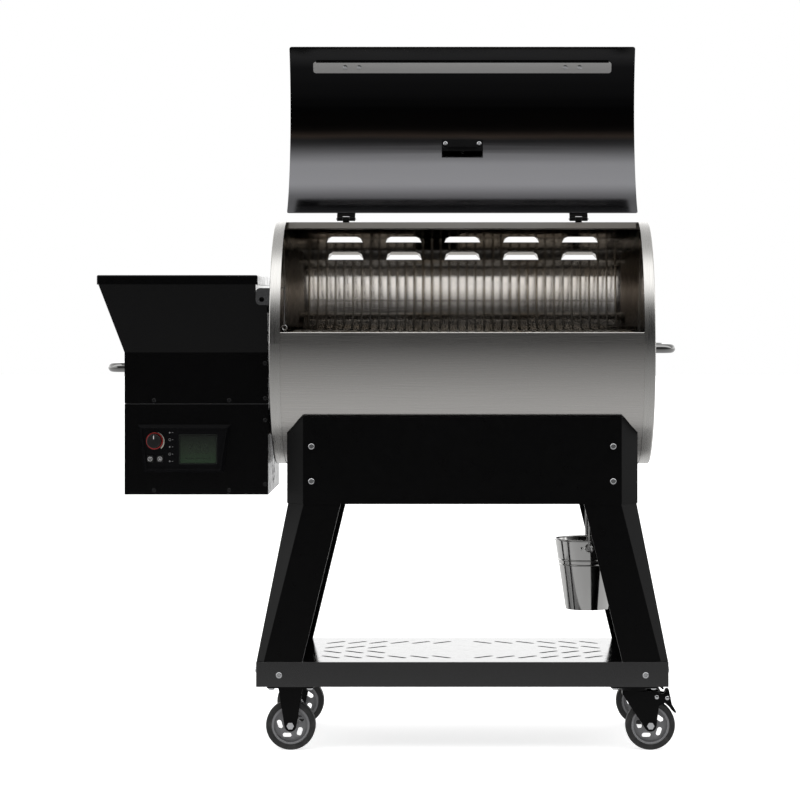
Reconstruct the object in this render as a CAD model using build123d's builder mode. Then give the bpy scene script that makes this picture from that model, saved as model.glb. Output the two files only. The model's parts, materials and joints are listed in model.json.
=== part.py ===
from build123d import *
import os
from math import cos, degrees, radians, sin, tan

# Pellet smoker grill on a caster cart. Millimetres, +Z up, front towards -Y.
# The origin is on the floor, under the middle of the whole grill.

# ---------------------------------------------------------------- driving dimensions
SHEET = 2.0  # cart sheet thickness
SKIN = 1.5  # drum, lid and hopper sheet thickness

# Reach of the grill to each side of the drum's middle
LEFT_REACH = 734.0
RIGHT_REACH = 437.0
DRUM_X = (LEFT_REACH - RIGHT_REACH) / 2

# Drum
DRUM_Z = 819.5  # height of the drum's axis
DRUM_R = 250.0  # outside of the drum's skin
BAND_R = 252.0  # outside of the end bands
BAND_INNER = 364.0  # half length between the bands
DRUM_HALF = 386.0  # half length over the end caps
OPENING_START = 4.9  # opening's front edge, in degrees above the front horizontal
OPENING_END = 92.0  # opening's rear edge, just behind the top

# Lid, described closed and then turned open about its hinge
LID_R = 253.0  # inside of the lid
LID_HALF = 368.0
LID_START = 4.0
LID_END = 96.0
LID_OPEN = 143.0
HINGE_R = 261.0  # hinge pin's distance from the drum's axis
HINGE_ANGLE = 99.0
HINGE_X = 243.5
HANDLE_ANGLE = 14.5  # where the lid's handle crosses its front
GUARD_ANGLE = 54.0  # middle of the guard under the thermometer

# Cart
CART_X = 414.5  # half width of the shelf
CART_Y = 208.0  # half depth of the shelf and aprons
SHELF_TOP = 180.0
SKIRT = 50.0
APRON_BOTTOM = 497.0
APRON_TOP = 671.6
APRON_FLAT = 320.0  # half width of the apron's flat front
APRON_BEVEL = 34.0
APRON_RETURN = 140.0
LEG_TOP = 640.0

# Casters
WHEEL_R = 50.0
WHEEL_W = 28.0
CASTER_X = 346.0
CASTER_Y = 174.0
TRAIL = 33.0
PLATE = (95.0, 66.0, 3.0)
PLATE_HOLES = (77.0, 45.0)
FORK_GAP = 36.0  # inside width of a fork
FORK_SHEET = 2.5

# Hopper and control box, X measured from the drum's middle
BOX_LEFT = -684.0
BOX_RIGHT = -393.0
BOX_FRONT = -160.0
BOX_BACK = 180.0
BOX_BOTTOM = 513.0
BOX_SEAM = 697.0
FLARE_BOTTOM = 801.0
FLARE_TOP = 938.0
BIN_RIGHT = -415.0  # right end of the bin's mouth
SHOULDER_TOP = 925.0  # top of the narrow box that joins the bin to the drum
RIM_TOP = 954.0
HOPPER_LID_TOP = 957.0
LID_GAP = 1.5
FLARE = LEFT_REACH + BOX_LEFT - LID_GAP - SKIN

# Auger and fan
AUGER_Z = 655.0
AUGER_TUBE_R = 26.0
FAN_Z = 570.0
POT_X = -60.0
POT_R = 55.0

# Fasteners and pins
BOLT_R = 3.0
BOLT_HEAD_R = 6.5
BOLT_HEAD_H = 4.2
SCREW_HEAD_R = 4.2
HOLE_GAP = 0.3
PIN_GAP = 0.06

# Bucket
BUCKET_X = 260.0
BUCKET_RIM = 412.6
BUCKET_BASE = 266.0
BUCKET_TOP_R = 67.3
BUCKET_BASE_R = 44.9
EAR_Z = 395.0
BAIL_TOP = 514.0

# ---------------------------------------------------------------- frames
CART = Plane(origin=(DRUM_X, 0, 0))
# Seen in this plane, x points to the front and y points up; its normal points left.
DRUM = Plane(origin=(DRUM_X, 0, DRUM_Z), x_dir=(0, -1, 0), z_dir=(-1, 0, 0))
HINGE_Y = -HINGE_R * cos(radians(HINGE_ANGLE))
HINGE_Z = DRUM_Z + HINGE_R * sin(radians(HINGE_ANGLE))
SWING = Pos(0, HINGE_Y, HINGE_Z) * Rot(-LID_OPEN, 0, 0) * Pos(0, -HINGE_Y, -HINGE_Z)
OPEN_LID = Plane(SWING * DRUM.location)


def on_skin(frame, angle, radius):
    """Plane on a drum-shaped skin: x runs along the drum, y with the angle, z outward."""
    turn = radians(angle)
    outward = frame.x_dir * cos(turn) + frame.y_dir * sin(turn)
    return Plane(origin=frame.origin + outward * radius, x_dir=(1, 0, 0), z_dir=outward)


def curved_sheet(frame, inner, outer, start, end, half_length, middle=0.0):
    """Strip of drum-shaped sheet between two radii and two angles."""
    with BuildPart() as strip:
        with BuildSketch(frame.offset(-middle)):
            with BuildLine():
                low = CenterArc((0, 0), inner, start, end - start)
                high = CenterArc((0, 0), outer, start, end - start)
                Line(low @ 0, high @ 0)
                Line(low @ 1, high @ 1)
            make_face()
        extrude(amount=half_length, both=True)
    return strip.part


def rod(start, end, radius):
    """Round bar between two points."""
    run = Vector(*end) - Vector(*start)
    with BuildPart(Plane(origin=start, z_dir=run)) as bar:
        Cylinder(radius, run.length, align=(Align.CENTER, Align.CENTER, Align.MIN))
    return bar.part


def save(part, name):
    """Labels a finished piece and writes its file."""
    part.label = name
    export_step(part, f"parts/{name}.step")


def fastener(head_radius, head_height, shank_radius, shank_length):
    """Button-head screw along Z, its head above the plane and a hexagon socket in it."""
    with BuildPart() as screw:
        Cylinder(head_radius, head_height, align=(Align.CENTER, Align.CENTER, Align.MIN))
        fillet(screw.edges().sort_by(Axis.Z)[-1], head_height * 0.6)
        Cylinder(shank_radius, shank_length, align=(Align.CENTER, Align.CENTER, Align.MAX))
        with BuildSketch(Plane.XY.offset(head_height)):
            RegularPolygon(head_radius * 0.45, 6)
        extrude(amount=-head_height * 0.5, mode=Mode.SUBTRACT)
    return screw.part


os.makedirs("parts", exist_ok=True)

# Faces that bolts enter; each plane's normal points out of the sheet, towards the bolt's head.
FRONT = Plane(origin=(DRUM_X, -CART_Y, 0), x_dir=(1, 0, 0), z_dir=(0, -1, 0))
REAR = Plane(origin=(DRUM_X, CART_Y, 0), x_dir=(-1, 0, 0), z_dir=(0, 1, 0))
LEFT = Plane(origin=(DRUM_X - CART_X, 0, 0), x_dir=(0, -1, 0), z_dir=(-1, 0, 0))
RIGHT = Plane(origin=(DRUM_X + CART_X, 0, 0), x_dir=(0, 1, 0), z_dir=(1, 0, 0))
APRON_BOLTS = [(x, z) for x in (-303.0, 303.0) for z in (543.0, 613.0)]
SKIRT_BOLTS = [(-368.0, 153.6), (368.0, 153.6)]
SIDE_BOLTS = [(-168.0, 160.0), (168.0, 160.0)]
CASTERS = {
    "front_left": (-CASTER_X, -CASTER_Y),
    "rear_left": (-CASTER_X, CASTER_Y),
    "front_right": (CASTER_X, -CASTER_Y),
    "rear_right": (CASTER_X, CASTER_Y),
}
PLATE_BOLTS = [
    (x + sx * PLATE_HOLES[0] / 2, y + sy * PLATE_HOLES[1] / 2)
    for x, y in CASTERS.values()
    for sx in (-1, 1)
    for sy in (-1, 1)
]


def drill(plane, places, radius, depth):
    """Cuts round holes inward from a face."""
    with Locations(*[plane.location * Pos(u, v, 0) for u, v in places]):
        Cylinder(
            radius, 2 * depth, align=(Align.CENTER, Align.CENTER, Align.CENTER), mode=Mode.SUBTRACT
        )


# ---------------------------------------------------------------- cart: shelf
SHELF_FLANGE = 86.0  # width of the turned-in flange that the caster plates bolt to
SLOT = (52.0, 10.0)
SLOT_PITCH_X = 45.0
SLOT_FIRST_X = 43.0
SLOT_ROWS = {124.0: range(6), 41.0: range(3, 6)}
LEG_TAB = (365.0, 60.0)  # middle and width of a leg's tab inside the skirt

with BuildPart() as shelf:
    with Locations(Pos(DRUM_X, 0, SHELF_TOP)):
        Box(2 * CART_X, 2 * CART_Y, SKIRT, align=(Align.CENTER, Align.CENTER, Align.MAX))
    fillet(shelf.edges().filter_by(Axis.Z), 3.0)
    with Locations(Pos(DRUM_X, 0, SHELF_TOP - SHEET)):
        Box(
            2 * (CART_X - SHEET),
            2 * (CART_Y - SHEET),
            SKIRT - 2 * SHEET,
            align=(Align.CENTER, Align.CENTER, Align.MAX),
            mode=Mode.SUBTRACT,
        )
        Box(
            2 * (CART_X - SHEET),
            2 * (CART_Y - SHEET - SHELF_FLANGE),
            SKIRT,
            align=(Align.CENTER, Align.CENTER, Align.MAX),
            mode=Mode.SUBTRACT,
        )
    # Slanted drain slots, leaning towards the middle of each end
    for row_y, columns in SLOT_ROWS.items():
        for side_x in (-1, 1):
            for side_y in (-1, 1):
                places = [(side_x * (SLOT_FIRST_X + SLOT_PITCH_X * k), side_y * row_y) for k in columns]
                with BuildSketch(CART.offset(SHELF_TOP)):
                    with Locations(*places):
                        SlotOverall(*SLOT, rotation=-45 * side_x * side_y)
                extrude(amount=-SHEET, mode=Mode.SUBTRACT)
    # Slits that let the legs' tabs through the top
    for side_x in (-1, 1):
        for side_y in (-1, 1):
            with Locations(Pos(DRUM_X + side_x * LEG_TAB[0], side_y * (CART_Y - SHEET), SHELF_TOP)):
                Box(
                    LEG_TAB[1] + 2,
                    2 * SHEET + 1,
                    2 * SHEET,
                    align=(Align.CENTER, Align.MAX if side_y > 0 else Align.MIN, Align.CENTER),
                    mode=Mode.SUBTRACT,
                )
    drill(CART.offset(SHELF_TOP - SKIRT), PLATE_BOLTS, BOLT_R + HOLE_GAP, 3 * SHEET)
    for face, places in ((FRONT, SKIRT_BOLTS), (REAR, SKIRT_BOLTS), (LEFT, SIDE_BOLTS), (RIGHT, SIDE_BOLTS)):
        drill(face, places, BOLT_R + HOLE_GAP, 3 * SHEET)
save(shelf.part, "shelf")

# ---------------------------------------------------------------- cart: legs
LEG_BOTTOM = (321.5, 399.0, 15.5)  # inner edge, fold line and bevel at the shelf
LEG_WAIST = (244.5, 319.0, 32.9)  # the same where the leg meets the apron
LEG_RETURN = 130.0  # how near the middle of the cart the leg's side flange comes
LEG_LIP = 12.0
MITRE = tan(radians(22.5))
SADDLE_GAP = 0.2


def leg_outline(inner, fold, bevel):
    """Folded sheet section of the front right leg: lip, front, bevel and side flange."""
    front = CART_Y - SHEET
    outer = fold + bevel
    corner = front - bevel
    return [
        (inner, front - LEG_LIP),
        (inner, front),
        (fold, front),
        (outer, corner),
        (outer, LEG_RETURN),
        (outer - SHEET, LEG_RETURN),
        (outer - SHEET, corner - MITRE * SHEET),
        (fold - MITRE * SHEET, front - SHEET),
        (inner + SHEET, front - SHEET),
        (inner + SHEET, front - LEG_LIP),
    ]


def drum_saddle():
    """Cutter that leaves a seat for the drum."""
    with BuildPart() as cutter:
        with BuildSketch(DRUM):
            Circle(DRUM_R + SADDLE_GAP)
        extrude(amount=DRUM_HALF, both=True)
    return cutter.part


def leg(side_x, side_y):
    """One splayed leg with its bolting tab below and its straight top inside the apron."""
    bottom = [(side_x * x, side_y * y) for x, y in leg_outline(*LEG_BOTTOM)]
    waist = [(side_x * x, side_y * y) for x, y in leg_outline(*LEG_WAIST)]
    face = FRONT if side_y < 0 else REAR
    across = side_x if side_y < 0 else -side_x
    with BuildPart() as piece:
        with BuildSketch(CART.offset(SHELF_TOP)):
            Polygon(*bottom, align=None)
        with BuildSketch(CART.offset(APRON_BOTTOM)):
            Polygon(*waist, align=None)
        loft(ruled=True)
        with BuildSketch(CART.offset(APRON_BOTTOM)):
            Polygon(*waist, align=None)
        extrude(amount=LEG_TOP - APRON_BOTTOM)
        with Locations(CART.location * Pos(side_x * LEG_TAB[0], side_y * (CART_Y - SHEET), SHELF_TOP)):
            Box(
                LEG_TAB[1],
                SHEET,
                SKIRT - 3 * SHEET,
                align=(Align.CENTER, Align.MAX if side_y > 0 else Align.MIN, Align.MAX),
            )
        add(drum_saddle(), mode=Mode.SUBTRACT)
        tab_bolt = (across * SKIRT_BOLTS[1][0], SKIRT_BOLTS[1][1])
        apron_bolts = [(across * x, z) for x, z in APRON_BOLTS if x > 0]
        drill(face, [tab_bolt] + apron_bolts, BOLT_R + HOLE_GAP, 3 * SHEET)
    return piece.part


for row, side_y in (("front", -1), ("rear", 1)):
    save(Compound(children=[leg(-1, side_y), leg(1, side_y)]), f"{row}_legs")

# ---------------------------------------------------------------- cart: aprons
APRON_CUT = 22.0  # drop of the slanted top corners
APRON_SADDLE = 201.8  # the top flange reaches the drum here


def apron(side_y):
    """Cross panel with bevelled ends; its top flange carries the drum."""
    outer = APRON_FLAT + APRON_BEVEL
    corner = CART_Y - APRON_BEVEL
    half = [
        (APRON_FLAT, CART_Y),
        (outer, corner),
        (outer, APRON_RETURN),
        (outer - SHEET, APRON_RETURN),
        (outer - SHEET, corner - MITRE * SHEET),
        (APRON_FLAT - MITRE * SHEET, CART_Y - SHEET),
    ]
    outline = [(x, side_y * y) for x, y in half] + [(-x, side_y * y) for x, y in reversed(half)]
    face = FRONT if side_y < 0 else REAR
    with BuildPart() as piece:
        with BuildSketch(CART.offset(APRON_BOTTOM)):
            Polygon(*outline, align=None)
        extrude(amount=APRON_TOP - APRON_BOTTOM)
        for depth, width, height in (
            (CART_Y - APRON_SADDLE, 2 * (APRON_FLAT - 3), APRON_TOP - SHEET),
            (16.0, 2 * (LEG_WAIST[0] - 4), APRON_BOTTOM),
        ):
            with Locations(CART.location * Pos(0, side_y * CART_Y, height)):
                Box(
                    width,
                    depth,
                    SHEET,
                    align=(Align.CENTER, Align.MAX if side_y > 0 else Align.MIN, Align.MIN),
                )
        for side_x in (-1, 1):
            with BuildSketch(FRONT):
                slope = [(APRON_FLAT, APRON_TOP), (outer + 6, APRON_TOP), (outer + 6, APRON_TOP - APRON_CUT)]
                Polygon(*[(side_x * x, z) for x, z in slope], align=None)
            extrude(amount=2 * CART_Y + 1, both=True, mode=Mode.SUBTRACT)
        add(drum_saddle(), mode=Mode.SUBTRACT)
        drill(face, APRON_BOLTS, BOLT_R + HOLE_GAP, 3 * SHEET)
    return piece.part


save(apron(-1), "front_apron")
save(apron(1), "rear_apron")

# ---------------------------------------------------------------- cart: bolts
cart_bolt = fastener(BOLT_HEAD_R, BOLT_HEAD_H, BOLT_R, 8.0)
plate_underside = Plane(origin=(DRUM_X, 0, SHELF_TOP - SKIRT - PLATE[2]), x_dir=(1, 0, 0), z_dir=(0, 0, -1))
with BuildPart() as cart_bolts:
    for face, places in (
        (FRONT, APRON_BOLTS + SKIRT_BOLTS),
        (REAR, APRON_BOLTS + SKIRT_BOLTS),
        (LEFT, SIDE_BOLTS),
        (RIGHT, SIDE_BOLTS),
        (plate_underside, PLATE_BOLTS),
    ):
        with Locations(*[face.location * Pos(u, v, 0) for u, v in places]):
            add(cart_bolt)
save(cart_bolts.part, "cart_bolts")

# ---------------------------------------------------------------- casters
AXLE_R = 4.0
HUB_HALF = FORK_GAP / 2 - 0.5
RIM_R = 38.5
WINDOW_CIRCLE = 22.5
WINDOW = (18.0, 9.5)
NECK_Z = 112.1  # underside of the swivel fork's crown
RACE_Z = 120.0
KING_R = 6.0
CHEEK_TOP = 48.0  # width of a cheek at the crown
CHEEK_CORNER_R = 4.0
CHEEK_END_R = 12.0
CROWN_STEP = 0.4  # the crown stands this much above the cheeks
SHOULDER_X = 44.0
SHOULDER_R = 7.9
EAR_ROOT = (36.0, 109.0, 8.6)
EAR_R = 7.0
EAR_FOOT = (44.5, 93.0, 5.0)
PEDAL_PIVOT = (66.5, 106.0)
PEDAL_PIN_R = 3.0
PEDAL_HALF = 14.0
# Side profile of the brake's claw, from its heel round its toe and back along the tyre
CLAW = [
    (61.0, 112.0),
    (64.0, 120.5),
    (70.0, 123.5),
    (73.5, 106.5),
    (76.5, 92.0),
    (85.0, 77.5),
    (84.0, 73.5),
    (76.2, 80.3),
    (70.0, 88.0),
    (62.0, 95.0),
]
MOUNT_Z = SHELF_TOP - SKIRT  # underside of the shelf's flange


def caster_frame(name):
    """Upright plane through a caster's middle: x to the right, y up, normal to the front."""
    x, y = CASTERS[name]
    return Plane(origin=(DRUM_X + x, y, 0), x_dir=(1, 0, 0), z_dir=(0, -1, 0))


def mounting_plate(name):
    """Top plate with its four bolt holes."""
    x, y = CASTERS[name]
    with BuildPart(Plane(origin=(DRUM_X + x, y, MOUNT_Z))) as plate:
        Box(*PLATE, align=(Align.CENTER, Align.CENTER, Align.MAX))
        fillet(plate.edges().filter_by(Axis.Z), 8.0)
        with GridLocations(*PLATE_HOLES, 2, 2):
            Cylinder(BOLT_R + HOLE_GAP, 4 * PLATE[2], mode=Mode.SUBTRACT)
    return plate.part


def hull(circles):
    """Flat outline drawn tightly round circles given by place and radius."""
    with BuildSketch() as outline:
        for x, z, radius in circles:
            with Locations((x, z)):
                Circle(radius)
        make_hull()
    return outline.sketch


def fork_cheeks(frame, webs, axle_x, pins):
    """The fork's two side plates, each the union of its webs with holes for the axle and pins."""
    with BuildPart() as cheeks:
        with BuildSketch(frame.offset(FORK_GAP / 2)):
            for web in webs:
                add(hull(web))
            with Locations((axle_x, WHEEL_R)):
                Circle(AXLE_R + 0.02, mode=Mode.SUBTRACT)
            for pin in pins:
                with Locations(pin):
                    Circle(PEDAL_PIN_R + PIN_GAP, mode=Mode.SUBTRACT)
        extrude(amount=FORK_SHEET)
        mirror(about=frame)
    return cheeks.part


def fixed_fork(name):
    """Rigid caster frame: plate, crown and two cheeks in one piece."""
    frame = caster_frame(name)
    corner_z = MOUNT_Z - PLATE[2] / 2 - CHEEK_CORNER_R
    corner_x = CHEEK_TOP / 2 - CHEEK_CORNER_R
    cheek = [
        (-corner_x, corner_z, CHEEK_CORNER_R),
        (corner_x, corner_z, CHEEK_CORNER_R),
        (0.0, WHEEL_R, CHEEK_END_R),
    ]
    with BuildPart() as fork:
        add(mounting_plate(name))
        add(fork_cheeks(frame, [cheek], 0.0, []))
    return fork.part


def swivel_fork(name):
    """Swivelling fork whose axle trails the king pin, with ears for the brake pedal."""
    x, y = CASTERS[name]
    crown_top = RACE_Z - 0.1
    cheek_top = crown_top - CROWN_STEP
    cheek = [
        (CHEEK_CORNER_R - CHEEK_TOP / 2, cheek_top - CHEEK_CORNER_R, CHEEK_CORNER_R),
        (SHOULDER_X, cheek_top - SHOULDER_R, SHOULDER_R),
        (TRAIL, WHEEL_R, CHEEK_END_R),
    ]
    ear = [EAR_ROOT, (*PEDAL_PIVOT, EAR_R), EAR_FOOT]
    with BuildPart() as fork:
        add(fork_cheeks(caster_frame(name), [cheek, ear], TRAIL, [PEDAL_PIVOT]))
        with Locations(Pos(DRUM_X + x, y, NECK_Z)):
            Box(
                CHEEK_TOP - 2 * CROWN_STEP,
                FORK_GAP + 2 * FORK_SHEET - 2 * CROWN_STEP,
                crown_top - NECK_Z,
                align=(Align.CENTER, Align.CENTER, Align.MIN),
            )
        with Locations(Pos(DRUM_X + x, y, NECK_Z)):
            Cylinder(KING_R + PIN_GAP, 40.0, mode=Mode.SUBTRACT)
    return fork.part


def swivel_head(name):
    """Fixed top of a swivel caster: plate, race and king pin with its head."""
    x, y = CASTERS[name]
    up = (Align.CENTER, Align.CENTER, Align.MIN)
    with BuildPart() as head:
        add(mounting_plate(name))
        with Locations(Pos(DRUM_X + x, y, RACE_Z)):
            Cylinder(26.0, MOUNT_Z - PLATE[2] - RACE_Z, align=up)
        with Locations(Pos(DRUM_X + x, y, NECK_Z - 4.1)):
            Cylinder(KING_R, MOUNT_Z - PLATE[2] - NECK_Z + 4.1, align=up)
            Cylinder(10.0, 4.0, align=up)
    return head.part


def axle(name, axle_x):
    """Axle bolt with its hexagon head in front and its nut behind."""
    frame = caster_frame(name)
    reach = FORK_GAP / 2 + FORK_SHEET
    with BuildPart() as bolt:
        with BuildSketch(frame.offset(-reach - 7.0)):
            with Locations((axle_x, WHEEL_R)):
                Circle(AXLE_R)
        extrude(amount=2 * reach + 9.0)
        for start, height in ((reach, 5.0), (-reach - 6.0, 6.0)):
            with BuildSketch(frame.offset(start)):
                with Locations((axle_x, WHEEL_R)):
                    RegularPolygon(7.5, 6)
            extrude(amount=height)
    return bolt.part


def wheel_frame(name):
    """Caster plane moved to the wheel's middle."""
    axle_x = TRAIL if name.endswith("right") else 0.0
    return Plane(caster_frame(name).location * Pos(axle_x, WHEEL_R, 0))


def wheel_rim(name):
    """Moulded centre: hub, dished web with leaning windows, and the tyre seat."""
    frame = wheel_frame(name)
    with BuildPart() as rim:
        for radius, half in ((RIM_R, 12.5), (13.0, HUB_HALF)):
            with BuildSketch(frame):
                Circle(radius)
            extrude(amount=half, both=True)
        for side in (-1, 1):
            with BuildSketch(frame.offset(side * 12.5)):
                Circle(34.0)
                Circle(13.0, mode=Mode.SUBTRACT)
            extrude(amount=-side * 8.0, mode=Mode.SUBTRACT)
        with BuildSketch(frame):
            with PolarLocations(WINDOW_CIRCLE, 5, start_angle=34, rotate=True):
                SlotOverall(*WINDOW, rotation=110)
            Circle(AXLE_R + PIN_GAP)
        extrude(amount=2 * WHEEL_W, both=True, mode=Mode.SUBTRACT)
    return rim.part


def tyre(name):
    """Rubber tread with rounded shoulders."""
    with BuildPart() as tread:
        with BuildSketch(wheel_frame(name)):
            Circle(WHEEL_R)
            Circle(RIM_R, mode=Mode.SUBTRACT)
        extrude(amount=WHEEL_W / 2, both=True)
        rims = tread.edges().filter_by(GeomType.CIRCLE).sort_by(SortBy.RADIUS)
        fillet(rims[-2:], 5.0)
        fillet(rims[:2], 1.0)
    return tread.part


def brake_pedal(name):
    """Foot lever whose claw wedges on the tyre; it turns on a pin in the fork's ears."""
    frame = caster_frame(name)
    with BuildPart() as pedal:
        with BuildSketch(frame) as profile:
            Polygon(*CLAW, align=None)
            fillet(profile.vertices(), 1.5)
        extrude(amount=PEDAL_HALF, both=True)
        with BuildSketch(frame):
            with Locations(PEDAL_PIVOT):
                Circle(PEDAL_PIN_R)
        extrude(amount=FORK_GAP / 2 + FORK_SHEET + 1.0, both=True)
    return pedal.part


save(Compound(children=[fixed_fork("front_left"), fixed_fork("rear_left")]), "fixed_caster_forks")
save(Compound(children=[axle("front_left", 0.0), axle("rear_left", 0.0)]), "fixed_caster_axles")
save(Compound(children=[swivel_head("front_right"), swivel_head("rear_right")]), "swivel_heads")
for row in ("front", "rear"):
    save(swivel_fork(f"{row}_right"), f"swivel_fork_{row}")
    save(axle(f"{row}_right", TRAIL), f"swivel_axle_{row}")
    save(brake_pedal(f"{row}_right"), f"brake_pedal_{row}")
for corner in CASTERS:
    save(wheel_rim(corner), f"wheel_rim_{corner}")
    save(tyre(corner), f"tyre_{corner}")

# ---------------------------------------------------------------- drum
LOUVRE_ROWS = (118.6, 131.8)  # middle of each row, in degrees over the top from the front
LOUVRE_PITCH = 125.0
LOUVRE = (88.0, 60.0, 30.0)  # width at the lower edge, width at the top, length along the skin
LOUVRE_RISE = 13.0
HEM_R = 2.0
LIP_DEPTH = 12.5
AUGER_HOLE_R = AUGER_TUBE_R + 0.3
SPOUT_R = 17.0


def louvre_solid(frame, angle, along, shrink, floor):
    """Blister of one louvre, open towards its lower edge; shrink gives the hollow inside it."""
    base = Plane(on_skin(frame, angle, DRUM_R).location * Pos(along, 0, 0))
    wide, narrow, length = LOUVRE
    low = length / 2 + (2.0 if shrink else 0.0)
    high = -length / 2 + shrink
    shoulder = high + 9.0
    foot = [
        (-wide / 2 + shrink, low),
        (wide / 2 - shrink, low),
        (wide / 2 - shrink - 4, shoulder),
        (narrow / 2 - shrink, high),
        (-narrow / 2 + shrink, high),
        (-wide / 2 + shrink + 4, shoulder),
    ]
    crest = [(x * 0.7, low if y == low else low + (y - low) * 0.55) for x, y in foot]
    with BuildPart() as blister:
        with BuildSketch(base.offset(floor)):
            Polygon(*foot, align=None)
        with BuildSketch(base.offset(LOUVRE_RISE - shrink)):
            Polygon(*crest, align=None)
        loft(ruled=True)
    return blister.part


def drum_hole(frame, angle, radius, along):
    """Round cutter standing through the drum's skin."""
    base = Plane(on_skin(frame, angle, DRUM_R).location * Pos(along, 0, 0))
    with BuildPart(base) as cutter:
        Cylinder(radius, 40.0)
    return cutter.part


with BuildPart() as barrel_shell:
    add(curved_sheet(DRUM, DRUM_R - SKIN, DRUM_R, OPENING_END, 360 + OPENING_START, BAND_INNER + 16))
    # The skin stays whole under the bands and is cut back to them along the opening
    add(curved_sheet(DRUM, DRUM_R - LIP_DEPTH, DRUM_R - 0.5, OPENING_END - 0.3, OPENING_END, BAND_INNER - 2))
    louvres = [
        (angle, LOUVRE_PITCH * column) for angle in LOUVRE_ROWS for column in range(-2, 3)
    ]
    for angle, along in louvres:
        add(louvre_solid(DRUM, angle, along, 0.0, -1.0))
    for angle, along in louvres:
        add(louvre_solid(DRUM, angle, along, SKIN, -8.0), mode=Mode.SUBTRACT)
    add(drum_hole(DRUM, 270.0, SPOUT_R + 0.2, BUCKET_X), mode=Mode.SUBTRACT)
    # Rolled hem along the front edge of the opening
    with BuildSketch(DRUM):
        with Locations(
            ((DRUM_R - HEM_R) * cos(radians(OPENING_START)), (DRUM_R - HEM_R) * sin(radians(OPENING_START)))
        ):
            Circle(HEM_R)
    extrude(amount=BAND_INNER - 1, both=True)
save(barrel_shell.part, "barrel_shell")

LEDGE_GRATE = 835.5  # the grate's cross rods rest here
LEDGE_TRAY = 770.0
LEDGE = (14.0, 3.0)


def end_cap(side):
    """Pressed end: flat disc, polished band and two ledges inside."""
    face = Plane(origin=(DRUM_X + side * DRUM_HALF, 0, DRUM_Z), x_dir=(0, side, 0), z_dir=(side, 0, 0))
    with BuildPart() as cap:
        with BuildSketch(face):
            Circle(BAND_R)
        extrude(amount=-(DRUM_HALF - BAND_INNER))
        fillet(cap.faces().sort_by(Axis.X)[0 if side < 0 else -1].edges(), 3.0)
        with BuildSketch(face.offset(-SKIN)):
            Circle(DRUM_R)
        extrude(amount=-DRUM_HALF, mode=Mode.SUBTRACT)
        for top, reach in ((LEDGE_GRATE, 190.0), (LEDGE_TRAY, 190.0)):
            with Locations(Pos(DRUM_X + side * (DRUM_HALF - SKIN), 0, top)):
                Box(
                    DRUM_HALF - BAND_INNER + LEDGE[0],
                    2 * reach,
                    LEDGE[1],
                    align=(Align.MIN if side < 0 else Align.MAX, Align.CENTER, Align.MAX),
                )
        if side < 0:
            with Locations(Location((DRUM_X - DRUM_HALF, 0, AUGER_Z), (0, 90, 0))):
                Cylinder(AUGER_HOLE_R, 20.0, mode=Mode.SUBTRACT)
    return cap.part


save(end_cap(-1), "end_cap_left")
save(end_cap(1), "end_cap_right")

# ---------------------------------------------------------------- side handles
HANDLE_TUBE_R = 9.5
HANDLE_SPAN = 210.0
HANDLE_FLANGE = (16.0, 2.5)
HANDLES = {"left": (-1, BOX_LEFT, -727.5, 769.0, 10.0), "right": (1, DRUM_HALF, RIGHT_REACH, 808.0, 0.0)}


def side_handle(side, wall, reach, height, middle_y):
    """Bent tube handle with a round flange on each foot."""
    tip = reach - side * HANDLE_TUBE_R
    low = middle_y - HANDLE_SPAN / 2
    high = middle_y + HANDLE_SPAN / 2
    with BuildPart() as handle:
        with BuildLine(CART.offset(height)):
            FilletPolyline((wall, low), (tip, low), (tip, high), (wall, high), radius=22.0)
        with BuildSketch(Plane(origin=(DRUM_X + wall, low, height), z_dir=(side, 0, 0))):
            Circle(HANDLE_TUBE_R)
        sweep()
        for foot_y in (low, high):
            with BuildSketch(Plane(origin=(DRUM_X + wall, foot_y, height), z_dir=(side, 0, 0))):
                Circle(HANDLE_FLANGE[0])
            extrude(amount=HANDLE_FLANGE[1])
    return handle.part


save(Compound(children=[side_handle(*sizes) for sizes in HANDLES.values()]), "side_handles")

# ---------------------------------------------------------------- lid
LID_OUT = LID_R + SKIN
STRIP_HALF = 318.0
STRIP_SPAN = 2.9  # half the strip's height, in degrees
STRIP_T = 1.8
STRIP_CORNER_R = 6.0
LID_SCREWS = [(-250.0, HANDLE_ANGLE), (-220.0, HANDLE_ANGLE), (220.0, HANDLE_ANGLE), (250.0, HANDLE_ANGLE)]
POST_X = 235.0
HANDLE_STAND = 50.0
HANDLE_BAR_R = 11.0
GUARD_WIDTH = 88.0
GUARD_FOLDS = [(-17.5, -1.75), (-1.0, -1.75), (13.0, -12.0), (13.0, -17.0)]
GUARD_SCREW_X = 36.0
GUARD_SCREW_Y = -7.6
STEM_DROP = 9.5  # the thermometer's stem comes through the lid under the guard's slope
STEM_R = 3.0
STEM_REACH = 5.0  # past the lid's inside
DIAL_ANGLE = GUARD_ANGLE + degrees(STEM_DROP / LID_R)
LID_HOLE_R = 2.5 + HOLE_GAP

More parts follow.
